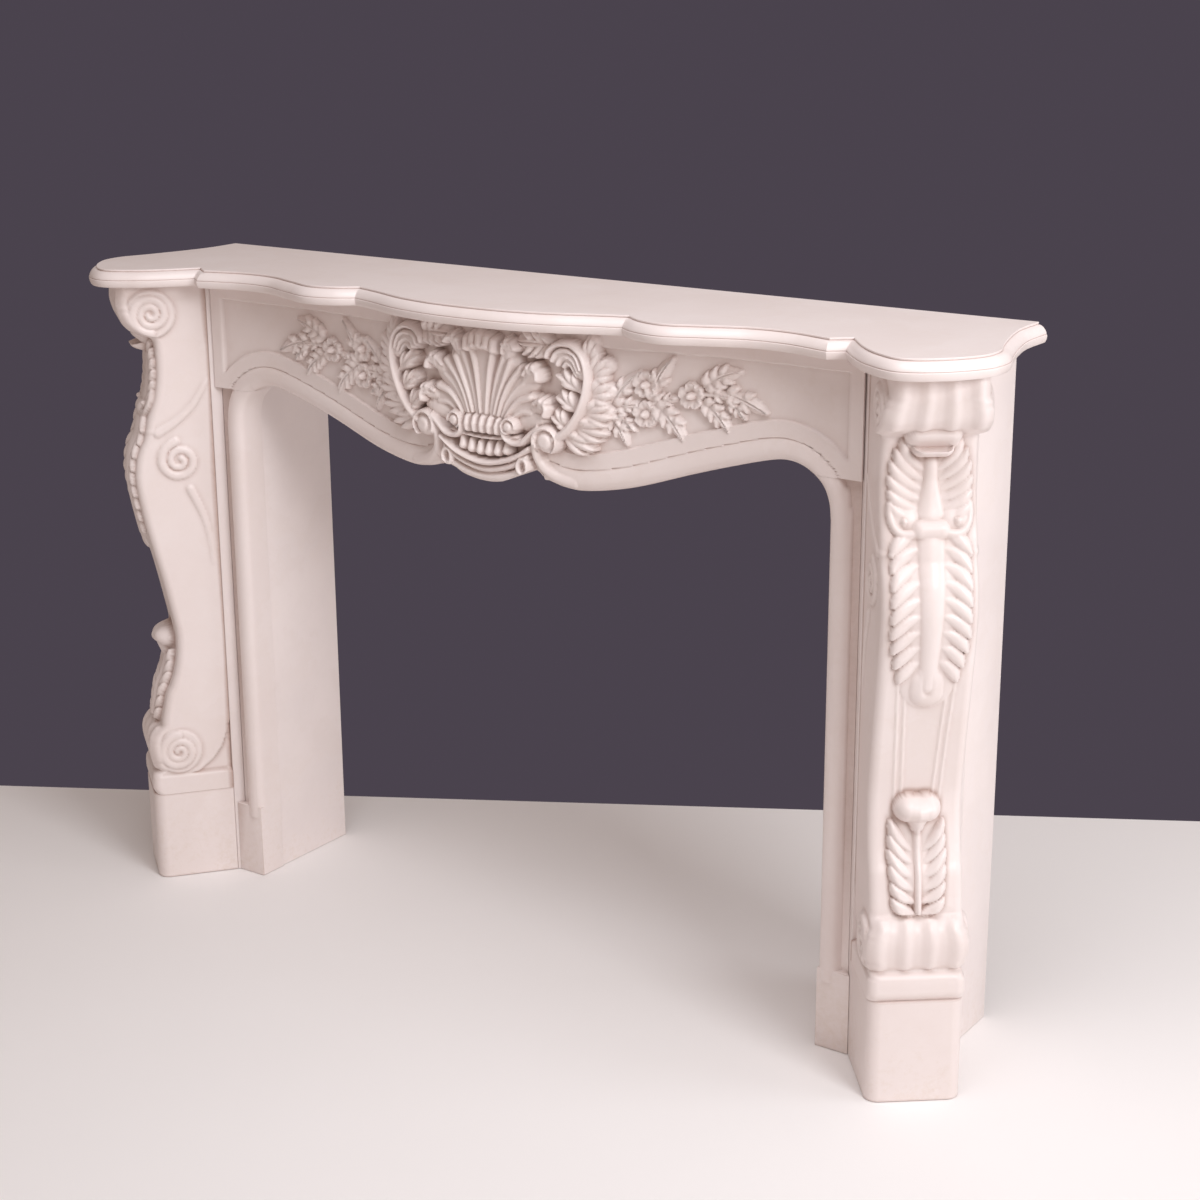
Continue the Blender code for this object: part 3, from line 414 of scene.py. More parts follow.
class Carving:
    """A growing set of ridges on one face."""

    def __init__(self) -> None:
        """Start with a plain face."""
        self.ridges: list[Ridge] = []

    def stroke(self, path: Points, radius: Any, rise: Any, section: Section = Section.ROUND) -> None:
        """Add a ridge along a polyline."""
        self.ridges.append(Ridge(np.asarray(path, dtype=float), radius, rise, section))

    def curve(self, path: Points, radius: Any, rise: Any) -> None:
        """Add a ridge along a smooth curve; pairs of radius or rise run from start to end."""
        line = smooth_curve(path, 5)
        sizes = [np.linspace(*size, len(line)) if isinstance(size, tuple) else size for size in (radius, rise)]
        self.stroke(line, *sizes)

    def bead(self, centre: Place, radius: float, rise: float, section: Section = Section.ROUND) -> None:
        """Add a round bead, or a flat disc where the section is a ribbon."""
        spot = np.asarray(centre, dtype=float)
        self.stroke([spot, spot + [1e-4, 0.0]], radius, rise, section)

    def petal(
        self,
        start: Place,
        end: Place,
        width: float,
        rise: float,
        bend: float = 0.0,
        section: Section = Section.ROUND,
    ) -> None:
        """Add one leaf lobe, low and narrow at its root and proud near its tip.

        Args:
            start: The root.
            end: The tip.
            width: The half width at the fullest place.
            rise: The height near the tip.
            bend: How far the lobe curves aside, as a share of its length.
            section: The cross-section.
        """
        swell = np.array([0.42, 0.60, 0.76, 0.90, 0.98, 1.00, 0.92, 0.72, 0.42])
        proud = np.array([0.45, 0.58, 0.70, 0.80, 0.90, 0.97, 1.00, 0.96, 0.84])
        self.stroke(bent_line(start, end, bend, len(swell)), width * swell, rise * proud, section)

    def spiral(
        self,
        centre: Place,
        radius: float,
        turns: float,
        start_angle: float,
        hand: float,
        width: float,
        rise: float,
    ) -> None:
        """Add a volute that winds inwards from its outer turn to its eye.

        Args:
            centre: The eye.
            radius: The reach of the outer turn.
            turns: How many times it winds.
            start_angle: Where the outer turn starts, in radians.
            hand: The way that it winds.
            width: The half width of its band at the start.
            rise: How far it stands proud.
        """
        steps_per_turn = 22
        t = np.linspace(0.0, 1.0, int(turns * steps_per_turn) + 1)
        angle = start_angle + hand * t * turns * 2.0 * math.pi
        reach = radius * (1.0 - 0.86 * t)
        path = np.stack([centre[0] + reach * np.cos(angle), centre[1] + reach * np.sin(angle)], axis=1)
        self.stroke(path, width * (1.0 - 0.38 * t), rise)

    def leaf(
        self,
        root: Place,
        tip: Place,
        width: float,
        lobes: int,
        rise: float,
        bend: float = 0.0,
    ) -> None:
        """Add a small acanthus leaf: pairs of lobes along a creased middle lobe.

        Args:
            root: Where the leaf starts.
            tip: Where it ends.
            width: Its half width.
            lobes: How many pairs of lobes it has.
            rise: How far it stands proud.
            bend: How far it curves aside, as a share of its length.
        """
        spine = bent_line(root, tip, bend, 25)
        last = len(spine) - 1
        length = float(np.linalg.norm(spine[-1] - spine[0]))
        self.petal(root, tip, width * 0.80, rise * 0.70, bend)
        self.petal(root, tip, width * 0.38, rise, bend, Section.CREASED)
        size = min(0.50 * length / lobes, width * 0.60)
        for i in range(lobes):
            share = (i + 0.35) / lobes
            foot = spine[int(share * 0.74 * last)]
            ahead = spine[min(int((share * 0.74 + 0.26) * last), last)] - foot
            ahead = ahead / max(float(np.linalg.norm(ahead)), 1e-9)
            across = np.array([-ahead[1], ahead[0]])
            span = width * math.sin(math.pi * (0.34 + 0.44 * share))
            for hand in HANDS:
                knee = foot + ahead * span * 0.30 + across * hand * span * 0.52
                end = foot + ahead * span * 0.80 + across * hand * span * 0.90
                sizes = [size * 0.80, size * 0.94, size * 0.82, size * 0.40]
                line = [foot, 0.5 * (foot + knee), knee, end]
                self.stroke(line, sizes, [rise * 0.55, rise * 0.78, rise * 0.98, rise * 0.90])

    def flower(self, centre: Place, radius: float, rise: float, petals: int = 5) -> None:
        """Add an open flower with cupped petals round a raised eye."""
        middle = np.asarray(centre, dtype=float)
        for i in range(petals):
            angle = math.pi / 2 + i * 2.0 * math.pi / petals
            out = np.array([math.cos(angle), math.sin(angle)])
            side = np.array([-out[1], out[0]])
            for hand in HANDS:
                spot = middle + out * radius * 0.64 + side * hand * radius * 0.13
                path = [middle + out * radius * 0.30, spot]
                self.stroke(path, [radius * 0.22, radius * 0.34], [rise * 0.55, rise], Section.CUPPED)
        self.bead(middle, radius * 0.31, rise * 1.30)

    def height(self, u: np.ndarray, v: np.ndarray) -> np.ndarray:
        """Return the height of the carved face over a grid of places."""
        face = np.zeros_like(u)
        for ridge in self.ridges:
            ridge.raise_over(u, v, face)
        return face


def hollowness(height: np.ndarray, reach: int, depth: float) -> np.ndarray:
    """Return how deep each place of a height field lies below its surroundings.

    Args:
        height: The height field, on a grid.
        reach: How many cells the surroundings extend.
        depth: The depth that counts as a full recess.

    Returns:
        A share from 0, open, to 1, deep in a recess.
    """
    soft = height
    for axis in (0, 1):
        padded = np.pad(soft, [(reach, reach) if i == axis else (0, 0) for i in (0, 1)], mode="edge")
        total = np.cumsum(padded, axis=axis)
        total = np.insert(total, 0, 0.0, axis=axis)
        count = soft.shape[axis]
        high = np.take(total, np.arange(2 * reach + 1, 2 * reach + 1 + count), axis=axis)
        low = np.take(total, np.arange(0, count), axis=axis)
        soft = (high - low) / (2 * reach + 1)
    return np.clip((soft - height) / depth, 0.0, 1.0)


def hollow_shading(height: np.ndarray, layers: Sequence[tuple[int, float, float]]) -> np.ndarray:
    """Return how much painted shade lies in the hollows of a height field.

    Args:
        height: The height field, on a grid.
        layers: The reach, the full depth and the strength of each layer of painted shade.

    Returns:
        A share from 0, unshaded, to 1, dark.
    """
    return np.max([strength * hollowness(height, reach, depth) for reach, depth, strength in layers], axis=0)


# Sizes that the stones share


@dataclass(frozen=True)
class MantelPlan:
    """The mantel's main sizes; depths are measured forward from the wall."""

    height: float = 1.100
    shelf_thickness: float = 0.0285
    opening_half_width: float = 0.568
    spring_drop: float = 0.065
    face_depth: float = 0.228
    slab_thickness: float = 0.053
    joint_gap: float = 0.0003
    frieze_end_height: float = 0.893
    frieze_ear_width: float = 0.052
    roll_width: float = 0.034
    roll_crown: float = 0.003
    roll_setback: float = 0.013
    jamb_side_width: float = 0.060
    console_lead: float = 0.0032
    console_half_width: float = 0.0700
    splay: float = math.radians(38.5)
    pilaster_thickness: float = 0.0196
    pilaster_width: float = 0.1485

    @property
    def spring_height(self) -> float:
        """The height where the opening's sides start to curve."""
        return self.frieze_end_height - self.spring_drop

    @property
    def frieze_half_length(self) -> float:
        """The distance from the middle to the frieze's end."""
        return self.opening_half_width + self.frieze_ear_width

    @property
    def block_top(self) -> float:
        """The height of every stone under the shelf."""
        return self.height - self.shelf_thickness - self.joint_gap

    @property
    def back_depth(self) -> float:
        """The depth of the back of the frieze and jambs."""
        return self.face_depth - self.slab_thickness

    @property
    def wall_y(self) -> float:
        """The wall's place along Y."""
        return float(CAD_BOX[1][1])

    @property
    def side_direction(self) -> np.ndarray:
        """The direction across the right console, in plan."""
        return np.array([math.cos(self.splay), -math.sin(self.splay)])

    @property
    def front_direction(self) -> np.ndarray:
        """The direction that the right console faces, in plan."""
        return np.array([math.sin(self.splay), math.cos(self.splay)])

    @property
    def console_corner(self) -> np.ndarray:
        """Where the right console's inner side meets the pilaster, in plan."""
        return np.array([self.opening_half_width + self.jamb_side_width, self.face_depth + self.console_lead])

    @property
    def console_origin(self) -> np.ndarray:
        """The middle of the right console's back, in plan."""
        return self.console_corner + self.side_direction * self.console_half_width

    def to_world(self, x: np.ndarray, depth: np.ndarray, z: np.ndarray) -> np.ndarray:
        """Return points of the model's frame from depths forward of the wall."""
        return np.stack([x, self.wall_y - depth, z], axis=-1)

    def console_frame(self, hand: float) -> Matrix:
        """Return the transform that stands a console at its place on one side."""
        origin = self.console_origin
        place = Matrix.Translation((hand * origin[0], self.wall_y - origin[1], 0.0))
        return place @ Matrix.Rotation(hand * self.splay, 4, "Z")


PLAN = MantelPlan()


class Side(Enum):
    """The mantel's two sides, seen from the room."""

    LEFT = "left"
    RIGHT = "right"

    @property
    def hand(self) -> float:
        """The side's sign along X."""
        return -1.0 if self is Side.LEFT else 1.0

    def named(self, part: str) -> str:
        """Return the CAD node's name on this side."""
        return f"{self.value}_{part}"

    def mirrored(self, outline: Points) -> np.ndarray:
        """Return a plan outline of the right side for this side."""
        return np.asarray(outline, dtype=float) * [self.hand, 1.0]


# Meshes


class StoneBlock:
    """A closed stone under construction."""

    def __init__(self, rings: np.ndarray, recess: np.ndarray | None = None) -> None:
        """Close a skin over rings of points.

        Args:
            rings: The rings' points, each ring a closed loop.
            recess: How dark each point is painted, from 0 to 1: painted shade in hollows and grooves, and dark
                joint lines.
        """
        closed = np.concatenate([rings, rings[:, :1]], axis=1)
        count, points, _ = closed.shape
        self.bm = bmesh.new()
        # The recess layer carries the painted shade and the dark joint lines to the material.
        layer = self.bm.verts.layers.float.new("recess")
        bmesh.ops.create_grid(self.bm, x_segments=points - 1, y_segments=count - 1, size=1.0)
        shades = np.zeros((count, points))
        if recess is not None:
            shades = np.concatenate([recess, recess[:, :1]], axis=1)
        for vert, place, shade in zip(self.bm.verts, closed.reshape(-1, 3), shades.ravel()):
            vert.co = place
            vert[layer] = shade
        bmesh.ops.remove_doubles(self.bm, verts=self.bm.verts, dist=1e-6)
        self._close()

    def _close(self) -> None:
        """Fill every open rim."""
        rim = [edge for edge in self.bm.edges if edge.is_boundary]
        bmesh.ops.holes_fill(self.bm, edges=rim, sides=0)

    @classmethod
    def prism(cls, outline: Points, low: float, high: float) -> "StoneBlock":
        """Raise a plan outline of (x, depth) from one level to another."""
        plan = np.asarray(outline, dtype=float)
        levels = [PLAN.to_world(plan[:, 0], plan[:, 1], np.full(len(plan), z)) for z in (low, high)]
        return cls(np.array(levels))

    def trim(self, place: Place, outward: Place) -> "StoneBlock":
        """Cut the stone flat at a plane and close it again."""
        geometry = list(self.bm.verts) + list(self.bm.edges) + list(self.bm.faces)
        bmesh.ops.bisect_plane(
            self.bm,
            geom=geometry,
            dist=1e-5,
            plane_co=Vector(place),
            plane_no=Vector(outward),
            clear_outer=True,
        )
        self._close()
        return self

    def ease_edges(self, width: float, angle: float = 40.0, segments: int = 3) -> "StoneBlock":
        """Round the stone's sharp arrises."""
        bmesh.ops.recalc_face_normals(self.bm, faces=self.bm.faces)
        sharp = [
            edge
            for edge in self.bm.edges
            if len(edge.link_faces) == 2 and edge.calc_face_angle(0.0) > math.radians(angle)
        ]
        bmesh.ops.bevel(
            self.bm,
            geom=sharp,
            offset=width,
            offset_type="OFFSET",
            segments=segments,
            profile=0.5,
            affect="EDGES",
            clamp_overlap=True,
            material=-1,
        )
        return self

    def finish(
        self,
        name: str,
        node: str,
        material: bpy.types.Material,
        slot: str,
        sharp: float = 50.0,
        move: Matrix | None = None,
    ) -> bpy.types.Object:
        """Turn the stone into a piece that stands for a CAD node.

        Args:
            name: The piece's name.
            node: The CAD node that it replaces.
            material: Its finish.
            slot: The record's material slot; not used.
            sharp: Edges that turn more than this many degrees stay crisp.
            move: A transform to the piece's place.

        Returns:
            The new object.
        """
        if move is not None:
            bmesh.ops.transform(self.bm, matrix=move, verts=self.bm.verts)
        bmesh.ops.recalc_face_normals(self.bm, faces=self.bm.faces)
        mesh = bpy.data.meshes.new(name)
        self.bm.to_mesh(mesh)
        self.bm.free()
        mesh.materials.append(material)
        mesh.shade_smooth()
        mesh.set_sharp_from_angle(angle=math.radians(sharp))
        piece = bpy.data.objects.new(name, mesh)
        bpy.context.scene.collection.objects.link(piece)
        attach(piece, "root")
        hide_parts(node)
        triangles = sum(len(face.vertices) - 2 for face in mesh.polygons)
        log.info("%s: %d triangles, stands for %s", name, triangles, node)
        return piece


# The opening's edge


@dataclass(frozen=True)
class Opening:
    """The arched edge of the fire opening and the roll that follows it."""

    crest_rise: float = 0.013
    crest_inset: float = 0.068
    haunch_inset: float = 0.165
    haunch_drop: float = 0.008
    dip_x: float = 0.175
    dip_drop: float = 0.070

    def edge(self) -> np.ndarray:
        """Return the right half of the edge as (x, height), from the middle to the jamb."""
        end = PLAN.opening_half_width
        base = PLAN.frieze_end_height
        haunch = end - self.haunch_inset
        dip = base - self.dip_drop
        run = haunch - self.dip_x
        fall = self.dip_drop - self.haunch_drop
        crest = self.crest_inset
        rise = self.crest_rise
        knots = [
            (self.dip_x - 0.075, dip + 0.010),
            (self.dip_x - 0.040, dip + 0.001),
            (self.dip_x, dip),
            (self.dip_x + run * 0.32, dip + fall * 0.22),
            (self.dip_x + run * 0.73, dip + fall * 0.70),
            (haunch, base - self.haunch_drop),
            (end - crest * 1.5, base + rise * 0.70),
            (end - crest, base + rise),
            (end - crest * 0.58, base + rise * 0.40),
            (end - crest * 0.22, base - rise * 1.05),
            (end - crest * 0.05, base - rise * 2.9),
            (end, PLAN.spring_height),
        ]
        return smooth_curve(knots, 12)

    def distance(self, x: np.ndarray, z: np.ndarray) -> np.ndarray:
        """Return how far (x, z) lies from the edge."""
        side = np.abs(x)
        nearest = np.full_like(side, 1.0)
        path = np.vstack([self.edge(), [PLAN.opening_half_width, 0.0]])
        for start, end in zip(path, path[1:]):
            along = end - start
            length = max(float(along @ along), 1e-12)
            t = np.clip(((side - start[0]) * along[0] + (z - start[1]) * along[1]) / length, 0.0, 1.0)
            gap = np.hypot(side - start[0] - t * along[0], z - start[1] - t * along[1])
            nearest = np.minimum(nearest, gap)
        return nearest

    @staticmethod
    def roll(distance: np.ndarray, outer_depth: float) -> np.ndarray:
        """Return the relief of the roll moulding, from the edge outwards."""
        half = PLAN.roll_width / 2
        share = np.clip((distance - half) / half, -1.0, 1.0)
        curve = np.sqrt(1.0 - share**2)
        inner = -PLAN.roll_setback + (PLAN.roll_setback + PLAN.roll_crown) * curve
        outer = -outer_depth + (outer_depth + PLAN.roll_crown) * curve
        return np.where(share < 0.0, inner, outer)


# The frieze and its carving


@dataclass(frozen=True)
class Cartouche:
    """The shell between acanthus scrolls at the middle of the frieze."""

    half_width: float = 0.118
    foot_drop: float = 0.072
    rise: float = 0.022

    @property
    def foot(self) -> float:
        """The height of the cartouche's lowest point."""
        return PLAN.frieze_end_height - self.foot_drop

    def place(self, across: float, up: float) -> np.ndarray:
        """Return a place from shares of the cartouche's half width and height."""
        tall = PLAN.block_top - 0.010 - self.foot
        return np.array([across * self.half_width, self.foot + up * tall])

    def line(self, shares: Points, hand: float = 1.0) -> list[np.ndarray]:
        """Return places on one side from pairs of shares."""
        return [self.place(hand * across, up) for across, up in shares]

    @staticmethod
    def arc(centre: np.ndarray, reach: Place, turns: Place, count: int) -> np.ndarray:
        """Return points round a centre.

        Args:
            centre: The middle of the arc.
            reach: How far it reaches across and up.
            turns: Where it starts and ends, in half circles.
            count: How many points it has.

        Returns:
            The points, one row each.
        """
        angle = np.linspace(*turns, count) * math.pi
        return centre + np.stack([reach[0] * np.cos(angle), reach[1] * np.sin(angle)], axis=1)

    def lower_edge(self, side: np.ndarray) -> np.ndarray:
        """Return the height of the cartouche's lower outline."""
        shares = np.array([0.0, 0.12, 0.25, 0.36, 0.47, 0.53, 0.60, 0.66, 0.72, 0.79, 0.85])
        drops = np.array([0.0, 0.001, 0.004, 0.009, 0.017, 0.0185, 0.021, 0.0255, 0.029, 0.0245, 0.018])
        return self.foot + np.interp(side / self.half_width, shares, drops)

    def carve(self, carving: Carving) -> None:
        """Add the whole cartouche to a carving."""
        self._shell(carving)
        self._gadroons(carving)
        for hand in HANDS:
            self._volutes(carving, hand)
            self._scroll(carving, hand)
            self._fronds(carving, hand)

    def _shell(self, carving: Carving) -> None:
        """Add the fan of fused ribs with its drooping crest and curled heads."""
        rise = self.rise
        cushions = ((0.0, 0.86, 0.030), (0.40, 0.80, 0.022), (0.66, 0.69, 0.020), (0.80, 0.54, 0.018))
        for across, up, size in cushions:
            for hand in HANDS:
                line = self.line(((across * 0.30, 0.46), (across, up)), hand)
                carving.stroke(line, [0.017, size], [rise * 0.64, rise * 0.70])
        ribs = (
            ((0.045, 0.455), (0.075, 0.60), (0.115, 0.75), (0.185, 0.885)),
            ((0.115, 0.455), (0.160, 0.58), (0.235, 0.71), (0.335, 0.835)),
            ((0.175, 0.455), (0.245, 0.57), (0.345, 0.69), (0.440, 0.800)),
            ((0.235, 0.450), (0.310, 0.56), (0.425, 0.665), (0.600, 0.765)),
            ((0.290, 0.445), (0.375, 0.54), (0.490, 0.615), (0.640, 0.675)),
            ((0.345, 0.440), (0.440, 0.505), (0.560, 0.560), (0.740, 0.590)),
            ((0.395, 0.425), (0.490, 0.460), (0.600, 0.490), (0.740, 0.490)),
        )
        proud_ribs = (0, 2, 3, 5)
        heads = (((0.43, 0.885), 1.15, 1.00), ((0.76, 0.740), 0.62, 1.05), ((0.90, 0.540), 0.18, 1.00))
        crest = ((0.0, 0.955, 0.0120), (0.115, 0.945, 0.0110), (0.215, 0.925, 0.0100))
        for hand in HANDS:
            for i, rib in enumerate(ribs):
                lift = rise * (0.98 if i in proud_ribs else 0.84)
                carving.curve(self.line(rib, hand), (0.0045, 0.0082), (lift * 0.90, lift))
            for spot, angle, scale in heads:
                self._head(carving, hand, spot, angle, scale)
            for across, up, size in crest:
                top = self.place(hand * across, up)
                carving.stroke([top, top - [0.0, 0.012]], size, [rise * 1.30, rise * 1.42])
            carving.bead(self.place(hand * 0.085, 0.893), 0.0066, rise * 1.52)

    def _head(self, carving: Carving, hand: float, spot: Place, angle: float, scale: float) -> None:
        """Add one curled, lobed head at the end of the shell's ribs.

        Args:
            carving: The carving that it joins.
            hand: The side.
            spot: Its middle, in shares of the cartouche.
            angle: The way that it points on the right side, in radians from across.
            scale: Its size.
        """
        middle = self.place(hand * spot[0], spot[1])
        out = np.array([hand * math.cos(angle), math.sin(angle)])
        down = np.array([hand * math.sin(angle), -math.cos(angle)])
        rise = self.rise
        carving.stroke([middle - out * 0.012 * scale, middle], 0.0135 * scale, [rise * 0.85, rise * 1.05])
        for turn, reach, size in ((1.15, 0.0105, 0.0066), (0.45, 0.0135, 0.0072), (-0.30, 0.0140, 0.0072)):
            way = out * math.cos(turn) - down * math.sin(turn)
            carving.stroke([middle, middle + way * reach * scale], size * scale, [rise * 1.12, rise * 1.30])
        hook = ((-0.010, -0.006), (0.000, -0.008), (0.009, -0.004), (0.0125, 0.005), (0.009, 0.013))
        line = [middle + (out * a + down * b) * scale for a, b in hook]
        carving.curve(line, (0.0050 * scale, 0.0072 * scale), (rise * 1.15, rise * 1.42))

    def _gadroons(self, carving: Carving) -> None:
        """Add the two rows of beads and the bands below the shell."""
        rise = self.rise
        for i in range(5):
            middle = (i - 2) * 0.122
            top = self.place(middle * 1.03, 0.424 - 0.10 * middle * middle)
            low = self.place(middle * 0.97, 0.345)
            sizes = [0.0066, 0.0082, 0.0074]
            carving.stroke([top, 0.5 * (top + low), low], sizes, [rise * 1.10, rise * 1.28, rise * 1.22])
        for i in range(6):
            middle = (i - 2.5) * 0.146
            level = 0.205 + 0.16 * middle * middle
            line = [self.place(middle, level + 0.052), self.place(middle * 0.97, level)]
            carving.stroke(line, [0.0060, 0.0092], [rise * 0.80, rise * 1.02])
        lip = [(a, 0.296 + 0.10 * a * a) for a in (-0.52, -0.26, 0.0, 0.26, 0.52)]
        carving.curve(self.line(lip), 0.0034, rise * 0.95)
        bands = (
            (0.131, 0.255, 0.72, 0.0056, 1.12),
            (0.086, 0.265, 0.66, 0.0058, 0.94),
            (0.034, 0.200, 0.54, 0.0088, 0.80),
        )
        for level, curl, end, size, lift in bands:
            band = [(a * end, level + curl * (a * end) ** 2) for a in (-1.0, -0.6, 0.0, 0.6, 1.0)]
            carving.curve(self.line(band), size, rise * lift)

    def _volutes(self, carving: Carving, hand: float) -> None:
        """Add the small and large volutes, the ring drop and the tail on one side."""
        rise = self.rise
        small = self.place(hand * 0.44, 0.392)
        carving.bead(small, 0.0148, rise * 1.12, Section.RIBBON)
        carving.bead(small, 0.0098, rise * 1.36, Section.RIBBON)
        ring = self.arc(small, (-hand * 0.0120, 0.0120), (-0.35, 1.05), 13)
        carving.curve(ring, (0.0036, 0.0042), rise * 1.28)
        web = self.line(((0.46, 0.405), (0.96, 0.450)), hand)
        carving.petal(*web, 0.0190, rise * 0.86, hand * 0.06)
        sweep = ((0.335, 0.365), (0.365, 0.318), (0.47, 0.288), (0.61, 0.296), (0.73, 0.345), (0.86, 0.392))
        carving.curve(self.line(sweep, hand), (0.0052, 0.0082), rise * 1.22)
        big = self.place(hand * 0.985, 0.328)
        carving.bead(big, 0.0225, rise * 1.10, Section.RIBBON)
        carving.bead(big, 0.0158, rise * 1.34, Section.RIBBON)
        ring = self.arc(big, (hand * 0.0200, 0.0200), (-0.30, 1.15), 16)
        carving.curve(ring, (0.0028, 0.0068), rise * 1.30)
        tail = ((0.83, 0.345), (0.80, 0.27), (0.82, 0.20), (0.90, 0.135), (1.06, 0.085), (1.30, 0.062))
        carving.curve(self.line(tail, hand), (0.0088, 0.0100), (rise * 1.26, rise * 0.30))
        drop = self.place(hand * 0.615, 0.148)
        carving.stroke([drop, drop - [0.0, 0.004]], 0.0090, rise * 0.62)
        hoop = self.arc(drop - [0.0, 0.002], (0.0090, 0.0120), (0.0, 2.0), 13)
        carving.stroke(hoop, 0.0054, rise * 1.05)

    def _scroll(self, carving: Carving, hand: float) -> None:
        """Add the C-shaped stem with its drooping head of nested bands on one side."""
        rise = self.rise
        stem = ((1.10, 0.345), (1.27, 0.405), (1.43, 0.510), (1.54, 0.640), (1.575, 0.770), (1.51, 0.885))
        stem += ((1.35, 0.948), (1.16, 0.945), (1.045, 0.905), (1.015, 0.865))
        outer = ((1.50, 0.80), (1.43, 0.880), (1.29, 0.912), (1.155, 0.895), (1.095, 0.845))
        middle = ((1.46, 0.78), (1.39, 0.848), (1.29, 0.872), (1.205, 0.860), (1.165, 0.822))
        inner = ((1.43, 0.76), (1.36, 0.815), (1.29, 0.832), (1.245, 0.812))
        bands = (
            (stem, (0.0084, 0.0058), 1.24),
            (outer, (0.0046, 0.0060), 1.20),
            (middle, (0.0042, 0.0056), 1.12),
            (inner, (0.0040, 0.0054), 1.02),
        )
        base = ((1.49, 0.78), (1.40, 0.855), (1.27, 0.880), (1.15, 0.860))
        carving.curve(self.line(base, hand), 0.0150, rise)
        for path, size, lift in bands:
            carving.curve(self.line(path, hand), size, rise * lift)

    def _fronds(self, carving: Carving, hand: float) -> None:
        """Add the leaves that grow from the stem on one side."""
        rise = self.rise
        inner = (
            ((1.49, 0.645), ((1.37, 0.765), (1.25, 0.782), (1.13, 0.752), (1.20, 0.700)), 0.0082),
            ((1.43, 0.520), ((1.33, 0.650), (1.22, 0.655), (1.13, 0.612), (1.21, 0.560)), 0.0080),
            ((1.30, 0.395), ((1.22, 0.530), (1.13, 0.528), (1.06, 0.480), (1.14, 0.430)), 0.0076),
        )
        outer = (
            ((1.57, 0.83), ((1.53, 0.970), (1.60, 0.985), (1.66, 0.945)), 0.0088),
            ((1.58, 0.74), ((1.70, 0.900), (1.79, 0.865), (1.83, 0.810), (1.80, 0.755)), 0.0084),
            ((1.55, 0.63), ((1.72, 0.740), (1.84, 0.710), (1.86, 0.650), (1.80, 0.595)), 0.0092),
            ((1.46, 0.52), ((1.68, 0.600), (1.82, 0.570), (1.86, 0.510), (1.78, 0.455)), 0.0092),
            ((1.33, 0.43), ((1.56, 0.475), (1.73, 0.455), (1.80, 0.405), (1.70, 0.355)), 0.0088),
            ((1.18, 0.37), ((1.40, 0.375), (1.56, 0.345), (1.62, 0.295), (1.48, 0.262)), 0.0084),
        )
        for leaves, lift in ((inner, 1.06), (outer, 0.84)):
            for root, tips, size in leaves:
                foot = self.place(hand * root[0], root[1])
                ends = self.line(tips, hand)
                middle = np.mean(ends, axis=0)
                palm = [foot, 0.5 * (foot + middle), middle]
                carving.stroke(palm, [0.005, 0.0125, 0.0135], rise * lift * 0.66)
                for i, end in enumerate(ends):
                    bend = hand * 0.10 * (i - (len(ends) - 1) / 2)
                    carving.petal(foot, end, size, rise * lift, -bend)
        top_leaf = self.line(((1.06, 0.925), (0.56, 0.935)), hand)
        carving.leaf(*top_leaf, 0.0235, 3, rise * 1.10, -0.05 * hand)


@dataclass(frozen=True)
class Spray:
    """A spray of flowers and leaves beside the cartouche."""

    start: float = 0.2006
    middle: float = 0.978
    length: float = 0.2614
    rise: float = 0.0135
    flower_radius: float = 0.0215

    def carve(self, carving: Carving) -> None:
        """Add the sprays on both sides to a carving."""
        leaves = (
            (0.02, -0.034, 0.235, 0.036, 0.0150, 3, 0.12),
            (0.08, -0.020, 0.225, -0.012, 0.0120, 2, 0.0),
            (0.03, -0.034, 0.150, -0.074, 0.0135, 2, 0.20),
            (0.08, -0.034, 0.205, -0.052, 0.0115, 2, 0.10),
            (0.30, -0.012, 0.435, 0.060, 0.0155, 2, 0.16),
            (0.31, -0.010, 0.500, -0.060, 0.0170, 3, 0.18),
            (0.36, -0.006, 0.47, 0.004, 0.0090, 1, 0.0),
            (0.61, 0.000, 0.780, -0.040, 0.0150, 3, 0.18),
            (0.62, 0.022, 0.845, 0.050, 0.0165, 3, 0.12),
            (0.66, 0.014, 0.800, 0.012, 0.0110, 1, 0.0),
            (0.74, 0.016, 1.010, -0.006, 0.0160, 2, 0.10),
            (0.78, 0.006, 0.880, -0.018, 0.0110, 2, 0.10),
        )
        stem = ((-0.04, -0.038), (0.12, -0.024), (0.30, -0.010), (0.55, 0.010), (0.80, 0.012))
        flowers = ((0.270, 0.018), (0.270, -0.026), (0.548, 0.008))
        for hand in HANDS:
            carving.curve([self.place(hand, along, up) for along, up in stem], 0.0042, self.rise * 0.7)
            for root_along, root_up, tip_along, tip_up, width, lobes, bend in leaves:
                root = self.place(hand, root_along, root_up)
                tip = self.place(hand, tip_along, tip_up)
                carving.leaf(root, tip, width, lobes, self.rise, bend * hand)
            for along, up in flowers:
                carving.flower(self.place(hand, along, up), self.flower_radius, self.rise * 1.15)

    def place(self, hand: float, along: float, up: float) -> np.ndarray:
        """Return a place from a share of the spray's length and a height."""
        return np.array([hand * (self.start + along * self.length), self.middle + up])


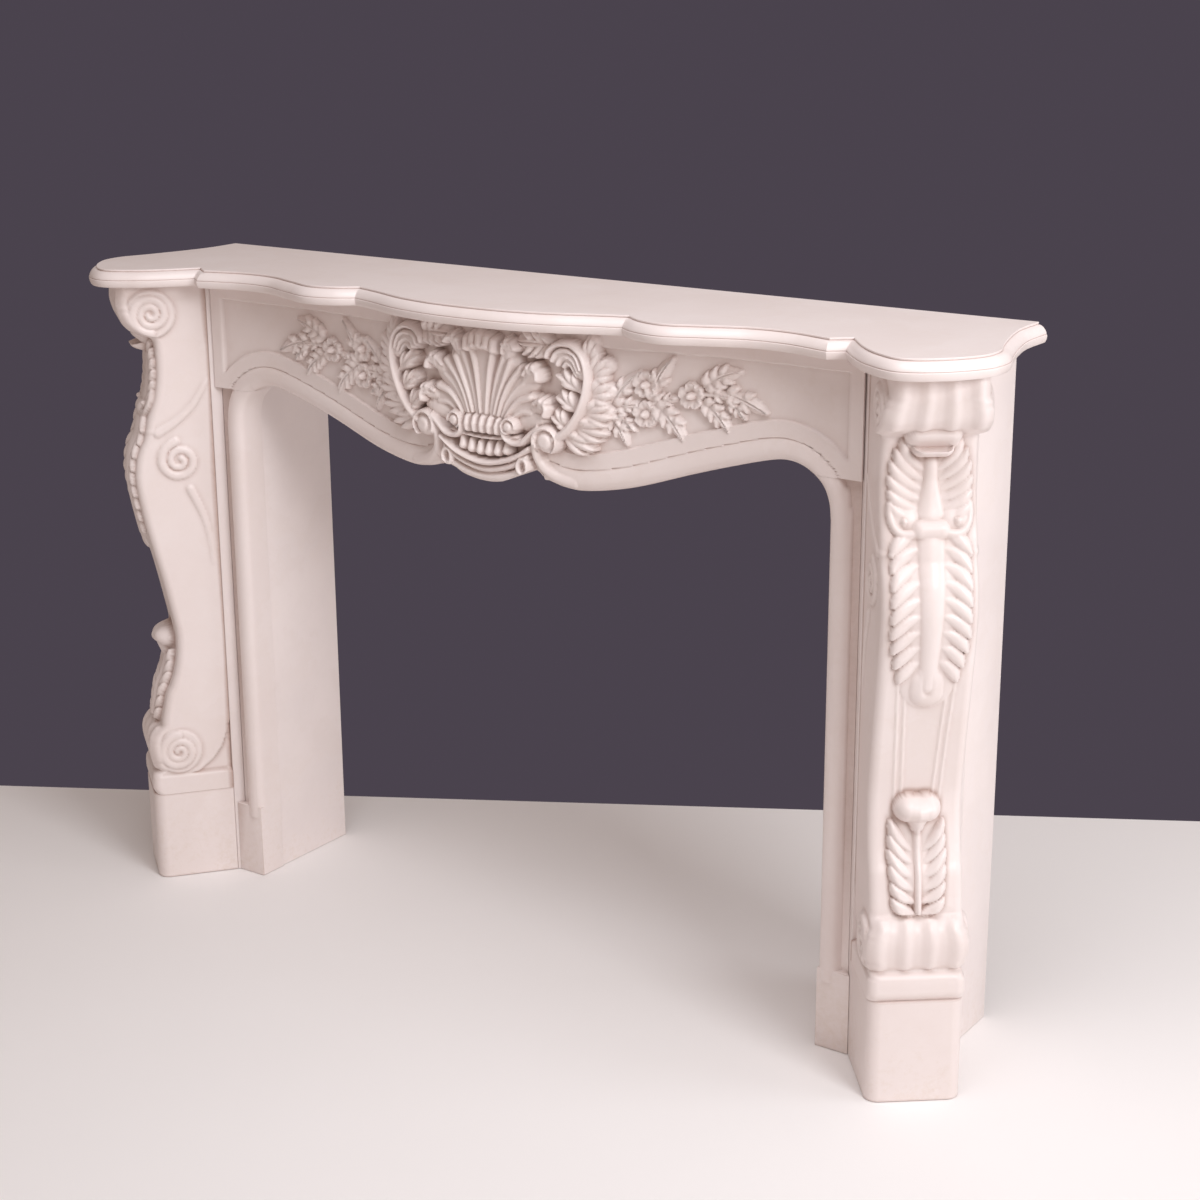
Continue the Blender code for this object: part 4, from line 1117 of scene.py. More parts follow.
@dataclass
class Frieze:
    """The bowed, arched stone over the opening."""

    bow: float = 0.045
    bow_half_length: float = 0.50
    roll_groove: float = 0.004
    fillet_width: float = 0.025
    border_width: float = 0.023
    top_band: float = 0.0255
    recess: float = 0.005
    step_width: float = 0.0024
    painted_shade: tuple[tuple[int, float, float], ...] = ((5, 0.0110, 0.72), (2, 0.0038, 0.45))
    rows: int = 128
    fine_step: float = 0.00125
    medium_step: float = 0.0018
    fine_end: float = 0.225
    medium_end: float = 0.475
    end_columns: int = 46
    opening: Opening = field(default_factory=Opening)
    cartouche: Cartouche = field(default_factory=Cartouche)
    spray: Spray = field(default_factory=Spray)

    def columns(self) -> np.ndarray:
        """Return the x places of the columns, closer together at the carving."""
        fine = np.arange(0.0, self.fine_end, self.fine_step)
        medium = np.arange(self.fine_end, self.medium_end, self.medium_step)
        coarse = np.linspace(self.medium_end, PLAN.frieze_half_length, self.end_columns)
        right = np.concatenate([fine, medium, coarse])
        return np.concatenate([-right[:0:-1], right])

    def lower_edge(self, x: np.ndarray) -> np.ndarray:
        """Return the height of the frieze's lower edge."""
        side = np.abs(x)
        edge = self.opening.edge()
        fallen = edge[:, 0] > PLAN.opening_half_width - self.opening.crest_inset
        fallen &= edge[:, 1] < PLAN.frieze_end_height
        upper = edge[: int(np.argmax(fallen))]
        outer = np.interp(side, upper[:, 0], upper[:, 1])
        outer = np.where(side > upper[-1, 0], PLAN.frieze_end_height, outer)
        return np.where(side < edge[0, 0], self.cartouche.lower_edge(side), outer)

    def relief(self, x: np.ndarray, z: np.ndarray) -> np.ndarray:
        """Return how far the face stands in front of the bowed ground."""
        distance = self.opening.distance(x, z)
        roll = self.opening.roll(distance, self.roll_groove)
        outside_middle = soft_step(np.abs(x), self.opening.edge()[0, 0], 0.010)
        band = PLAN.roll_width + self.fillet_width
        inside = soft_step(distance, band, self.step_width)
        inside *= soft_step(PLAN.frieze_half_length - self.border_width - np.abs(x), 0.0, self.step_width)
        inside *= soft_step(PLAN.block_top - self.top_band - z, 0.0, self.step_width)
        ground = np.where(distance < PLAN.roll_width, roll * outside_middle, 0.0) - self.recess * inside
        shell = Carving()
        self.cartouche.carve(shell)
        flowers = Carving()
        self.spray.carve(flowers)
        carved = np.maximum(shell.height(x, z), flowers.height(x, z) - self.recess)
        raised = np.maximum(ground, carved - self.recess * 0.5)
        return np.where(carved > 0.0, raised, ground)

    def build(self, finish: StoneFinish, material: bpy.types.Material) -> None:
        """Build the frieze."""
        columns = self.columns()
        low = self.lower_edge(columns)
        rows = np.linspace(0.0, 1.0, self.rows) ** 1.08
        x = np.repeat(columns[:, None], len(rows), axis=1)
        z = low[:, None] + (PLAN.block_top - low)[:, None] * rows[None, :]
        relief = self.relief(x, z)
        share = np.clip(np.abs(x) / self.bow_half_length, 0.0, 1.0)
        depth = PLAN.face_depth + self.bow * 0.5 * (1.0 + np.cos(math.pi * share)) + relief
        # Painted shade in the hollows of the carving.
        shade = hollow_shading(relief, self.painted_shade)
        back = np.full((len(columns), 1), PLAN.back_depth)
        x = np.concatenate([x, x[:, -1:], x[:, :1]], axis=1)
        z = np.concatenate([z, z[:, -1:], z[:, :1]], axis=1)
        depth = np.concatenate([depth, back, back], axis=1)
        shade = np.concatenate([shade, back * 0.0, back * 0.0], axis=1)
        block = StoneBlock(PLAN.to_world(x, depth, z), shade)
        for side in Side:
            corner = PLAN.console_corner - PLAN.side_direction * 4.0 * PLAN.joint_gap
            place = (side.hand * corner[0], PLAN.wall_y - corner[1], 0.0)
            block.trim(place, (side.hand * PLAN.side_direction[0], -PLAN.side_direction[1], 0.0))
        block.finish("carved_frieze", "frieze", material, finish.slot)


# The shelf


@dataclass
class Shelf:
    """The serpentine shelf with its moulded edge."""

    centre_reach: float = 0.328
    cusp_x: float = 0.255
    cusp_reach: float = 0.267
    wave_x: float = 0.335
    wave_reach: float = 0.298
    hollow_reach: float = 0.254
    ear_inset: float = 0.040
    ear_reach: float = 0.272
    ear_step: float = 0.024
    lobe_margin: float = 0.014
    lobe_overhang: float = 0.0255
    roll_reach: float = 0.1455
    end_overhang: float = 0.0303
    moulding: float = 0.014
    quirk_shade: float = 0.5
    steps: int = 14

    def outline(self) -> np.ndarray:
        """Return the right half of the top edge as (x, depth), from the middle to the wall."""
        ear = PLAN.console_corner[0] - self.ear_inset
        cusp = self.cusp_x
        centre = [
            (0.0, self.centre_reach),
            (cusp * 0.27, self.centre_reach - 0.004),
            (cusp * 0.55, self.centre_reach - 0.019),
            (cusp * 0.80, self.cusp_reach + 0.017),
            (cusp, self.cusp_reach),
        ]
        hollow = ear - self.wave_x
        wave = [
            (cusp, self.cusp_reach),
            (self.wave_x - 0.045, self.wave_reach - 0.008),
            (self.wave_x, self.wave_reach),
            (self.wave_x + hollow * 0.22, self.wave_reach - 0.020),
            (self.wave_x + hollow * 0.46, self.hollow_reach + 0.002),
            (self.wave_x + hollow * 0.72, self.hollow_reach),
            (ear, self.ear_reach),
        ]
        half = PLAN.console_half_width + self.lobe_margin
        reach = self.roll_reach + self.lobe_overhang
        shares = ((-half - 0.008, 0.40), (-half + 0.001, 0.70), (-half * 0.70, 0.96), (-half * 0.08, 1.0))
        shares += ((half * 0.60, 0.90), (half * 0.97, 0.71), (half * 1.15, 0.46))
        lobe = [np.array([ear + self.ear_step, self.ear_reach - self.ear_step])]
        for across, ahead in shares:
            place = PLAN.console_origin + PLAN.side_direction * across
            lobe.append(place + PLAN.front_direction * reach * ahead)
        end = PLAN.console_corner[0] + PLAN.pilaster_width * math.cos(PLAN.splay) + self.end_overhang
        tail = lobe[-1]
        lobe.append(np.array([end + (tail[0] - end) * 0.42, tail[1] * 0.66]))
        lobe.append(np.array([end + 0.001, tail[1] * 0.34]))
        lobe.append(np.array([end, 0.0]))
        curves = [smooth_curve(knots, self.steps) for knots in (centre, wave, lobe)]
        return np.vstack([curves[0][:-1], curves[1], curves[2][1:]])

    @staticmethod
    def offset(half: np.ndarray, amount: float) -> np.ndarray:
        """Move the half outline outwards, keeping its ends on the middle line and the wall.

        Args:
            half: The right half of the outline, from the middle to the wall.
            amount: How far it moves.

        Returns:
            The moved half, with as many points.
        """
        ahead = np.vstack([half[1:], half[-1:]])
        behind = np.vstack([half[:1], half[:-1]])
        behind[0] = half[1] * [-1.0, 1.0]
        ahead[-1] = half[-1] + [0.0, -0.01]
        into = half - behind
        out = ahead - half
        into /= np.linalg.norm(into, axis=1)[:, None]
        out /= np.linalg.norm(out, axis=1)[:, None]
        normal_in = np.stack([-into[:, 1], into[:, 0]], axis=1)
        normal_out = np.stack([-out[:, 1], out[:, 0]], axis=1)
        mitre = normal_in + normal_out
        mitre /= np.maximum((mitre * normal_in).sum(axis=1), 0.5)[:, None]
        moved = half + mitre * amount
        turn = into[:, 0] * out[:, 1] - into[:, 1] * out[:, 0]
        hollow_corner = 0.3
        for corner in np.flatnonzero(turn > hollow_corner):
            Shelf.unfold(moved, corner, np.array([mitre[corner, 1], -mitre[corner, 0]]))
        moved[0, 0] = 0.0
        moved[-1, 1] = half[-1, 1]
        return moved

    @staticmethod
    def unfold(moved: np.ndarray, corner: int, along: np.ndarray) -> None:
        """Straighten the points that crossed over at a hollow corner.

        Args:
            moved: The moved outline, which is changed.
            corner: The corner's number in it.
            along: The way that runs square to the corner's mitre.
        """
        clearance = 0.0006
        for way in (-1, 1):
            clear = corner + way
            while ((moved[clear] - moved[corner]) @ along) * way < clearance:
                clear += way
            for i in range(corner + way, clear, way):
                share = (i - corner) / (clear - corner)
                moved[i] = moved[corner] + (moved[clear] - moved[corner]) * share

    def build(self, finish: StoneFinish, material: bpy.types.Material) -> None:
        """Build the shelf."""
        thick = PLAN.shelf_thickness
        lower = ((-1.00, 0.78), (-0.96, 0.85), (-0.88, 0.92), (-0.79, 0.975), (-0.70, 1.00), (-0.625, 0.995))
        lower_quirk = ((-0.60, 0.965), (-0.59, 0.885), (-0.56, 0.875), (-0.55, 0.925))
        ogee = ((-0.50, 0.905), (-0.42, 0.83), (-0.33, 0.71), (-0.25, 0.56), (-0.185, 0.39), (-0.150, 0.24))
        upper_quirk = ((-0.135, 0.09), (-0.125, -0.03), (-0.095, -0.035), (-0.085, 0.03))
        top = ((-0.02, 0.03), (0.0, -0.02))
        floors = (*lower_quirk[1:3], *upper_quirk[1:3])
        plan = self.outline()
        rings = []
        shades = []
        for knot in lower + lower_quirk + ogee + upper_quirk + top:
            level, share = knot
            right = self.offset(plan, self.moulding * share)
            loop = np.vstack([right[:0:-1] * [-1.0, 1.0], right])
            height = np.full(len(loop), PLAN.height + level * thick)
            rings.append(PLAN.to_world(loop[:, 0], loop[:, 1], height))
            shades.append(np.full(len(loop), self.quirk_shade if knot in floors else 0.0))
        block = StoneBlock(np.array(rings), np.array(shades))
        block.finish("moulded_shelf", "shelf", material, finish.slot, 28.0)


# The consoles


@dataclass
class Console:
    """The splayed carved uprights."""

    body_inset: float = 0.0020
    edge_radius: float = 0.014
    plinth_height: float = 0.160
    roll_reach: float = 0.1455
    neck_reach: float = 0.0905
    belly_reach: float = 0.136
    waist_reach: float = 0.0845
    foot_reach: float = 0.113
    torus_reach: float = 0.1415
    leaf_rise: float = 0.0082
    flute_rise: float = 0.0040
    volute_rise: float = 0.0042
    disc_rise: float = 0.0045
    torus_rise: float = 0.003
    foot_recess: float = 0.006
    leaf_spread: float = 0.55
    front_shade_layers: tuple[tuple[int, float, float], ...] = ((4, 0.0065, 1.0), (2, 0.0030, 0.7))
    side_shade_layers: tuple[tuple[int, float, float], ...] = ((3, 0.0035, 0.8),)
    disc_radius: float = 0.041
    disc_edge: float = 0.004
    ring_step: float = 0.0023
    edge_steps: int = 12
    front_steps: int = 70
    side_steps: int = 46

    def level(self, share: float) -> float:
        """Return a height from a share of the way from the plinth to the shelf."""
        return self.plinth_height + share * (PLAN.block_top - self.plinth_height)

    def profile(self) -> np.ndarray:
        """Return the bare front edge as (reach, height), from top to bottom."""
        low = self.plinth_height + PLAN.joint_gap
        tall = PLAN.block_top - low
        roll = self.roll_reach
        neck = self.neck_reach
        belly = self.belly_reach
        waist = self.waist_reach
        foot = self.foot_reach
        torus = self.torus_reach
        knots = [
            (roll - 0.003, 1.000), (roll - 0.0005, 0.980), (roll, 0.960), (roll - 0.0065, 0.935),
            (roll - 0.0165, 0.921), (roll - 0.0285, 0.911), (neck + 0.013, 0.904), (neck + 0.001, 0.894),
            (neck - 0.001, 0.867), (neck, 0.834), (neck + 0.003, 0.807), (neck + 0.009, 0.779),
            (neck + 0.0195, 0.746), (neck + 0.0245, 0.724), (belly - 0.018, 0.709), (belly - 0.010, 0.691),
            (belly - 0.0045, 0.675), (belly - 0.001, 0.653), (belly, 0.630), (belly - 0.004, 0.592),
            (belly - 0.013, 0.538), (waist + 0.0275, 0.483), (waist + 0.0185, 0.439),
            (waist + 0.0085, 0.384), (waist, 0.329), (waist + 0.0005, 0.285), (foot - 0.022, 0.248),
            (foot - 0.0135, 0.221), (foot - 0.006, 0.203), (foot, 0.175), (foot + 0.0045, 0.151),
            (foot + 0.0065, 0.138), (torus - 0.012, 0.128), (torus - 0.005, 0.117),
            (torus - 0.0015, 0.101), (torus - 0.0025, 0.082), (torus - 0.007, 0.060),
            (torus - 0.0125, 0.0485), (torus - 0.003, 0.0414), (torus - 0.0005, 0.0326),
            (torus, 0.0216), (torus - 0.0005, 0.0106), (torus - 0.006, 0.000),
        ]
        return smooth_curve([(reach, low + share * tall) for reach, share in knots], 12)

    def front_carving(self) -> Carving:
        """Return the leaves down the front, as (across, height)."""
        carving = Carving()
        self._upper_leaf(carving)
        self._long_leaf(carving)
        self._lower_leaf(carving)
        return carving

    def _upper_leaf(self, carving: Carving) -> None:
        """Add the acanthus whose crest curls forward under the top roll."""
        rise = self.leaf_rise
        carving.stroke([(0.0, 0.965), (0.0, 0.915), (0.0, 0.872)], [0.0085, 0.0115, 0.0205], rise * 1.30)
        carving.stroke([(0.0, 0.930), (0.0, 0.895)], [0.036, 0.044], rise * 0.55)
        carving.stroke([(-0.020, 0.975), (0.020, 0.975)], 0.0185, rise * 2.0)
        carving.stroke([(-0.0155, 0.9665), (0.0155, 0.9665)], 0.0148, rise * 4.3)
        carving.stroke([(-0.0135, 0.852), (0.0135, 0.852)], 0.0145, rise * 1.90)
        tips = ((0.028, 0.984), (0.0395, 0.974), (0.0480, 0.959), (0.0535, 0.941))
        tips += ((0.0555, 0.921), (0.0550, 0.902), (0.0535, 0.884))
        curl = ((0.0550, 0.886), (0.0545, 0.869), (0.0495, 0.855))
        curl += ((0.041, 0.8475), (0.031, 0.846), (0.020, 0.848))
        for hand in HANDS:
            for i, (across, up) in enumerate(tips):
                root = (hand * (0.0095 + 0.0014 * i), 0.948 - 0.0138 * i)
                carving.petal(root, (hand * across, up), 0.0104, rise * (1.46 - 0.04 * i), hand * (-0.22))
            carving.stroke([(hand * 0.030, 0.866), (hand * 0.040, 0.868)], 0.0190, rise * 1.02)
            line = [(hand * across, up) for across, up in curl]
            carving.curve(line, (0.0050, 0.0075), (rise * 0.9, rise * 1.35))
            carving.bead((hand * 0.0370, 0.8620), 0.0068, rise * 1.85)

    def _long_leaf(self, carving: Carving) -> None:
        """Add the long hanging leaf below the boss, and the reeds under it."""
        rise = self.leaf_rise
        column = [(0.0, 0.842), (0.0, 0.78), (0.0, 0.70), (0.0, 0.635)]
        carving.stroke(column, [0.0205, 0.0190, 0.0160, 0.0135], rise * 1.36)
        carving.stroke(column, [0.050, 0.051, 0.050, 0.038], rise * 0.55)
        tongue = ((0.0, 0.655), (0.0, 0.640), (0.0, 0.626))
        carving.stroke(tongue, [0.0170, 0.0250, 0.0255], rise * 1.30, Section.CREASED)
        for hand in HANDS:
            for i in range(9):
                up = 0.820 - 0.0222 * i
                across = 0.0530 - 0.0130 * max(0.0, (i - 5) / 3) ** 1.6
                inner = 0.0165 - 0.0006 * i
                root = (hand * inner, up + 0.030)
                carving.petal(root, (hand * across, up), 0.0108, rise * 1.22, hand * 0.24)
                carving.petal(root, (hand * (across - 0.003), up + 0.0085), 0.0060, rise * 1.16, hand * 0.22)
            for inner, outer, low in ((0.0300, 0.0222, 0.455), (0.0400, 0.0318, 0.440)):
                reed = [(hand * inner, 0.640), (hand * (inner + outer) / 2, 0.555), (hand * outer, low)]
                carving.stroke(reed, 0.0024, rise * 0.16)

    def _lower_leaf(self, carving: Carving) -> None:
        """Add the small acanthus above the bottom roll."""
        rise = self.leaf_rise
        hood = ((-0.0125, 0.4400), (0.0, 0.4385), (0.0125, 0.4400))
        carving.stroke(hood, 0.0220, [rise * 4.2, rise * 4.6, rise * 4.2])
        beak = ((0.0, 0.424), (0.0, 0.413), (0.0, 0.402))
        carving.stroke(beak, [0.0185, 0.0115, 0.0050], [rise * 3.5, rise * 2.9, rise * 2.2])
        carving.stroke([(0.0, 0.425), (0.0, 0.340)], [0.0330, 0.0330], rise * 0.95)
        carving.stroke([(0.0, 0.415), (0.0, 0.292)], [0.0075, 0.0055], rise * 1.75)
        for hand in HANDS:
            for i in range(6):
                root = (hand * 0.0045, 0.374 - 0.0170 * i)
                tip = (hand * (0.0400 - 0.0014 * abs(i - 2)), 0.418 - 0.0218 * i)
                second = (tip[0] * 0.95, tip[1] - 0.0095)
                lift = rise * (1.85 - 0.05 * i)
                carving.petal(root, tip, 0.0098, lift, hand * (-0.20))
                carving.petal(root, second, 0.0056, lift, hand * (-0.22))

    def flutes(self, across: np.ndarray, z: np.ndarray) -> np.ndarray:
        """Return the flutes of the upper and lower rolls."""
        upper = soft_step(z, self.level(0.915), 0.010)
        lower = soft_step(z, self.level(0.052), 0.006) * soft_step(self.level(0.134) - z, 0.0, 0.006)
        half = PLAN.console_half_width - self.body_inset
        wave = (0.5 - 0.5 * np.cos(np.clip(across / half, -1.0, 1.0) * math.pi * 4.0)) ** 1.5
        return self.flute_rise * wave * np.maximum(upper, lower)

    def side_height(self, reach: np.ndarray, z: np.ndarray) -> np.ndarray:
        """Return the relief of the side faces, with their three volutes."""
        upper = (self.roll_reach * 0.645, self.level(0.946))
        middle = (self.belly_reach * 0.44, self.level(0.667))
        lower = (self.torus_reach * 0.655, self.level(0.087))
        disc = np.zeros_like(z)
        for (across, up), radius in ((upper, self.disc_radius), (lower, self.disc_radius - 0.001)):
            inward = radius - np.hypot(reach - across, z - up)
            disc = np.maximum(disc, soft_step(inward, 0.0, self.disc_edge))
        carving = Carving()
        rise = self.volute_rise
        carving.spiral(upper, 0.0325, 2.2, -math.pi / 2, 1.0, 0.0078, rise)
        carving.spiral(middle, 0.0340, 1.9, math.pi * 0.45, -1.0, 0.0080, rise)
        carving.spiral(lower, 0.0315, 2.2, math.pi / 2, -1.0, 0.0078, rise)
        sweep = ((0.004, 0.905), (0.0127, 0.8948), (0.0318, 0.8641), (0.0612, 0.8376), (0.0935, 0.8184))
        carving.curve(sweep, (0.004, 0.0085), (rise * 0.35, rise * 0.9))
        tail = ((0.0441, 0.7159), (0.0255, 0.672), (0.0158, 0.6307), (0.0115, 0.5821))
        carving.curve(tail, (0.0075, 0.004), (rise * 0.9, rise * 0.25))
        torus = soft_step(self.level(0.0375) - z, 0.0, 0.004)
        reaches = self.torus_reach * np.array([0.0, 0.035, 0.11, 0.23, 0.415, 0.62, 1.0])
        levels = [self.level(share) for share in (0.138, 0.120, 0.0875, 0.0625, 0.0405, 0.0335, 0.030)]
        hollow = soft_step(np.interp(reach, reaches, levels) - z, 0.0, 0.005) * (1.0 - torus) * (1.0 - disc)
        plain = disc * self.disc_rise + torus * self.torus_rise - hollow * self.foot_recess
        return plain + carving.height(reach, z)

    def even_profile(self) -> tuple[np.ndarray, np.ndarray]:
        """Return the reaches and heights of the front edge at even steps."""
        profile = self.profile()
        lengths = np.concatenate([[0.0], np.cumsum(np.hypot(*np.diff(profile, axis=0).T))])
        samples = np.linspace(0.0, lengths[-1], int(lengths[-1] / self.ring_step) + 1)
        return np.interp(samples, lengths, profile[:, 0]), np.interp(samples, lengths, profile[:, 1])

    def rings(self) -> tuple[np.ndarray, np.ndarray]:
        """Return the closed rings in the console's own frame and how dark each point is painted: shade in its
        hollows, and the dark joint line.
        """
        reach, height = self.even_profile()
        slope = np.stack([np.gradient(reach), np.gradient(height)], axis=1)
        slope /= np.linalg.norm(slope, axis=1)[:, None]
        # Places round the front: a rounded edge, the flat face and the other rounded edge.
        half = PLAN.console_half_width - self.body_inset
        radius = self.edge_radius
        turn = np.linspace(0.0, math.pi / 2, self.edge_steps)
        edge = radius * (1.0 - np.cos(turn)) - half
        wrap = -(half - radius) - radius * (math.pi / 2 - turn)
        flat = np.linspace(radius - half, half - radius, self.front_steps)[1:-1]
        inset = radius * (1.0 - np.sin(turn))
        inset = np.concatenate([inset, np.zeros_like(flat), inset[::-1]])
        out = np.concatenate([-np.cos(turn), np.zeros_like(flat), np.cos(turn[::-1])])
        ahead = np.concatenate([np.sin(turn), np.ones_like(flat), np.sin(turn[::-1])])
        places = np.concatenate([edge, flat, -edge[::-1]])
        # The front is raised square to its profile, and its leaves also spread over the edges.
        across, z = np.meshgrid(np.concatenate([wrap, flat, -wrap[::-1]]), height)
        leaves = self.front_carving().height(across, z)
        lift = leaves + self.flutes(places[None, :] + 0.0 * z, z)
        front_reach = reach[:, None] - inset - slope[:, 1:] * lift * ahead
        front_z = z + slope[:, :1] * lift * ahead
        # The sides run from the back to the edge, with a dark joint line next to the back.
        share = np.linspace(0.0, 1.0, self.side_steps)[:-1] ** 0.92
        share[1] = 0.012
        back_z = np.linspace(height[0], height[-1], len(height))
        side_reach = (reach - radius)[:, None] * share
        side_z = back_z[:, None] + (height - back_z)[:, None] * share
        side = self.side_height(side_reach, side_z)
        spread = 1.0 + self.side_height(reach - radius, height) / half
        front_u = places * spread[:, None] + out * leaves * self.leaf_spread
        u = np.concatenate([-half - side, front_u, (half + side)[:, ::-1]], axis=1)
        d = np.concatenate([side_reach, front_reach, side_reach[:, ::-1]], axis=1)
        z = np.concatenate([side_z, front_z, side_z[:, ::-1]], axis=1)
        # Painted shade in the hollows of the sides; the first columns are then set to the dark joint line.
        side_shade = hollow_shading(side, self.side_shade_layers)
        side_shade[:, :2] = 1.0
        side_shade[:, 2] = 0.35
        # Painted shade in the hollows of the front.
        front_shade = hollow_shading(lift, self.front_shade_layers)
        shade = np.concatenate([side_shade, front_shade, side_shade[:, ::-1]], axis=1)
        d[:, 0] = d[:, -1] = PLAN.joint_gap
        return np.stack([u, -d, z], axis=2), shade

    def build(self, side: Side, finish: StoneFinish, material: bpy.types.Material) -> None:
        """Build the console on one side."""
        rings, shade = self.rings()
        block = StoneBlock(rings, shade)
        name = side.named("carved_console")
        node = side.named("console")
        block.finish(name, node, material, finish.slot, 55.0, PLAN.console_frame(side.hand))


@dataclass
class ConsolePlinth:
    """The plain blocks under the consoles."""

    height: float = 0.160
    depth: float = 0.1405
    corner: float = 0.020
    arris: float = 0.0016
    dark_band_height: float = 0.004

    def build(self, side: Side, finish: StoneFinish, material: bpy.types.Material) -> None:
        """Build the block on one side."""
        half = PLAN.console_half_width
        turn = np.linspace(0.0, math.pi / 2, 12)
        across = self.corner * (1.0 - np.cos(turn)) - half
        reach = self.depth - self.corner * (1.0 - np.sin(turn))
        left = np.stack([across, reach], axis=1)
        gap = PLAN.joint_gap
        plan = np.vstack([[(-half, gap)], left, left[::-1] * [-1.0, 1.0], [(half, gap)]])
        levels = (0.0, self.dark_band_height, self.height * 0.5, self.height - self.dark_band_height, self.height)
        rings = [np.stack([plan[:, 0], -plan[:, 1], np.full(len(plan), level)], axis=1) for level in levels]
        shade = np.zeros((len(levels), len(plan)))
        # The bottom and top rings are darker, fading over dark_band_height.
        shade[0] = shade[-1] = 0.45
        block = StoneBlock(np.array(rings), shade)
        block.ease_edges(self.arris)
        name = side.named("plinth_block")
        node = side.named("console_plinth")
        block.finish(name, node, material, finish.slot, 30.0, PLAN.console_frame(side.hand))


# The jambs and the slabs behind


@dataclass
class Jamb:
    """The moulded stiles of the opening with their plinth blocks."""

    valley: float = 0.0120
    foot_height: float = 0.131
    foot_overlap: float = 0.020
    arris: float = 0.0014
    curve_steps: int = 22
    face_steps: int = 25
    opening: Opening = field(default_factory=Opening)

    @staticmethod
    def pilaster_plan() -> np.ndarray:
        """Return the plan of the splayed slab behind the right console, as (x, depth)."""
        inner = PLAN.console_corner
        outer = inner + PLAN.side_direction * PLAN.pilaster_width
        back_inner = inner - PLAN.front_direction * PLAN.pilaster_thickness
        tangent = PLAN.side_direction[1] / PLAN.side_direction[0]
        back_outer = np.array([outer[0], back_inner[1] + (outer[0] - back_inner[0]) * tangent])
        return np.array([inner, outer, back_outer, back_inner])

    def build(self, side: Side, finish: StoneFinish, material: bpy.types.Material) -> None:
        """Build the jamb on one side."""
        inner_back = self.pilaster_plan()[3] - PLAN.side_direction * 2.0 * PLAN.joint_gap
        outer_x = inner_back[0]
        top = PLAN.frieze_end_height - PLAN.joint_gap
        straight = [self.foot_height - self.foot_overlap, 0.35, 0.6]
        levels = np.concatenate([straight, np.linspace(PLAN.spring_height, top, self.curve_steps)])
        corner = self.opening.edge()
        corner = corner[corner[:, 0] > PLAN.opening_half_width * 0.9]
        start = np.interp(levels, corner[::-1, 1], corner[::-1, 0])
        across = 0.5 - 0.5 * np.cos(np.linspace(0.0, math.pi, self.face_steps))
        x = start[:, None] + (outer_x - start)[:, None] * across[None, :]
        z = np.repeat(levels[:, None], len(across), axis=1)
        relief = self.opening.roll(self.opening.distance(x, z), self.valley)
        depth = PLAN.face_depth + relief
        shade = np.clip((-relief - 0.0075) / 0.0045, 0.0, 1.0) * (across > 0.5) * 0.6
        ends = np.stack([np.full(len(levels), outer_x), start], axis=1)
        back = np.full((len(levels), 2), PLAN.back_depth)
        x = np.concatenate([x, ends], axis=1)
        depth = np.concatenate([depth, back], axis=1)
        z = np.concatenate([z, z[:, :2]], axis=1)
        shade = np.concatenate([shade, back * 0.0], axis=1)
        stile = StoneBlock(PLAN.to_world(side.hand * x, depth, z), shade)
        front = PLAN.console_corner - PLAN.side_direction * 2.0 * PLAN.joint_gap
        corner_front = front - PLAN.front_direction * (front[1] - PLAN.face_depth) / PLAN.front_direction[1]
        plan = [
            (PLAN.opening_half_width, PLAN.back_depth),
            (PLAN.opening_half_width, PLAN.face_depth),
            corner_front,
            inner_back,
            (outer_x, PLAN.back_depth),
        ]
        foot = StoneBlock.prism(side.mirrored(plan), 0.0, self.foot_height)
        foot.ease_edges(self.arris)
        bmesh.ops.recalc_face_normals(stile.bm, faces=stile.bm.faces)
        self._join(stile, foot)
        stile.finish(side.named("moulded_jamb"), side.named("jamb"), material, finish.slot, 32.0)

    @staticmethod
    def _join(stile: StoneBlock, foot: StoneBlock) -> None:
        """Make the stile and its foot one solid."""
        objects = []
        for block in (stile, foot):
            mesh = bpy.data.meshes.new("joining")
            block.bm.to_mesh(mesh)
            objects.append(bpy.data.objects.new("joining", mesh))
            bpy.context.scene.collection.objects.link(objects[-1])
        union = objects[0].modifiers.new("Union", "BOOLEAN")
        union.operation = "UNION"
        union.solver = "EXACT"
        union.object = objects[1]
        graph = bpy.context.evaluated_depsgraph_get()
        joined = bpy.data.meshes.new_from_object(objects[0].evaluated_get(graph))
        stile.bm.clear()
        stile.bm.from_mesh(joined)
        for obj in objects:
            mesh = obj.data
            bpy.data.objects.remove(obj)
            bpy.data.meshes.remove(mesh)
        bpy.data.meshes.remove(joined)
        foot.bm.free()


@dataclass
class Slabs:
    """The plain slabs: pilasters behind the consoles and returns to the wall."""

    return_thickness: float = 0.024
    inner_inset: float = 0.002
    arris: float = 0.0014

    def build(self, side: Side, finish: StoneFinish, material: bpy.types.Material) -> None:
        """Build the three slabs on one side."""
        pilaster = Jamb.pilaster_plan()
        inner = PLAN.opening_half_width + self.inner_inset
        depth = PLAN.back_depth - PLAN.joint_gap
        outer = pilaster[2] - [0.0, PLAN.joint_gap]
        inside = outer[0] - self.return_thickness
        thick = self.return_thickness
        plans = {
            "pilaster": pilaster,
            "inner_return": [(inner, 0.0), (inner, depth), (inner + thick, depth), (inner + thick, 0.0)],
            "outer_return": [(inside, 0.0), (inside, outer[1]), (outer[0], outer[1]), (outer[0], 0.0)],
        }
        for part, plan in plans.items():
            block = StoneBlock.prism(side.mirrored(plan), 0.0, PLAN.block_top)
            block.ease_edges(self.arris)
            block.finish(side.named(part) + "_slab", side.named(part), material, finish.slot, 30.0)


# Camera, floor and lights


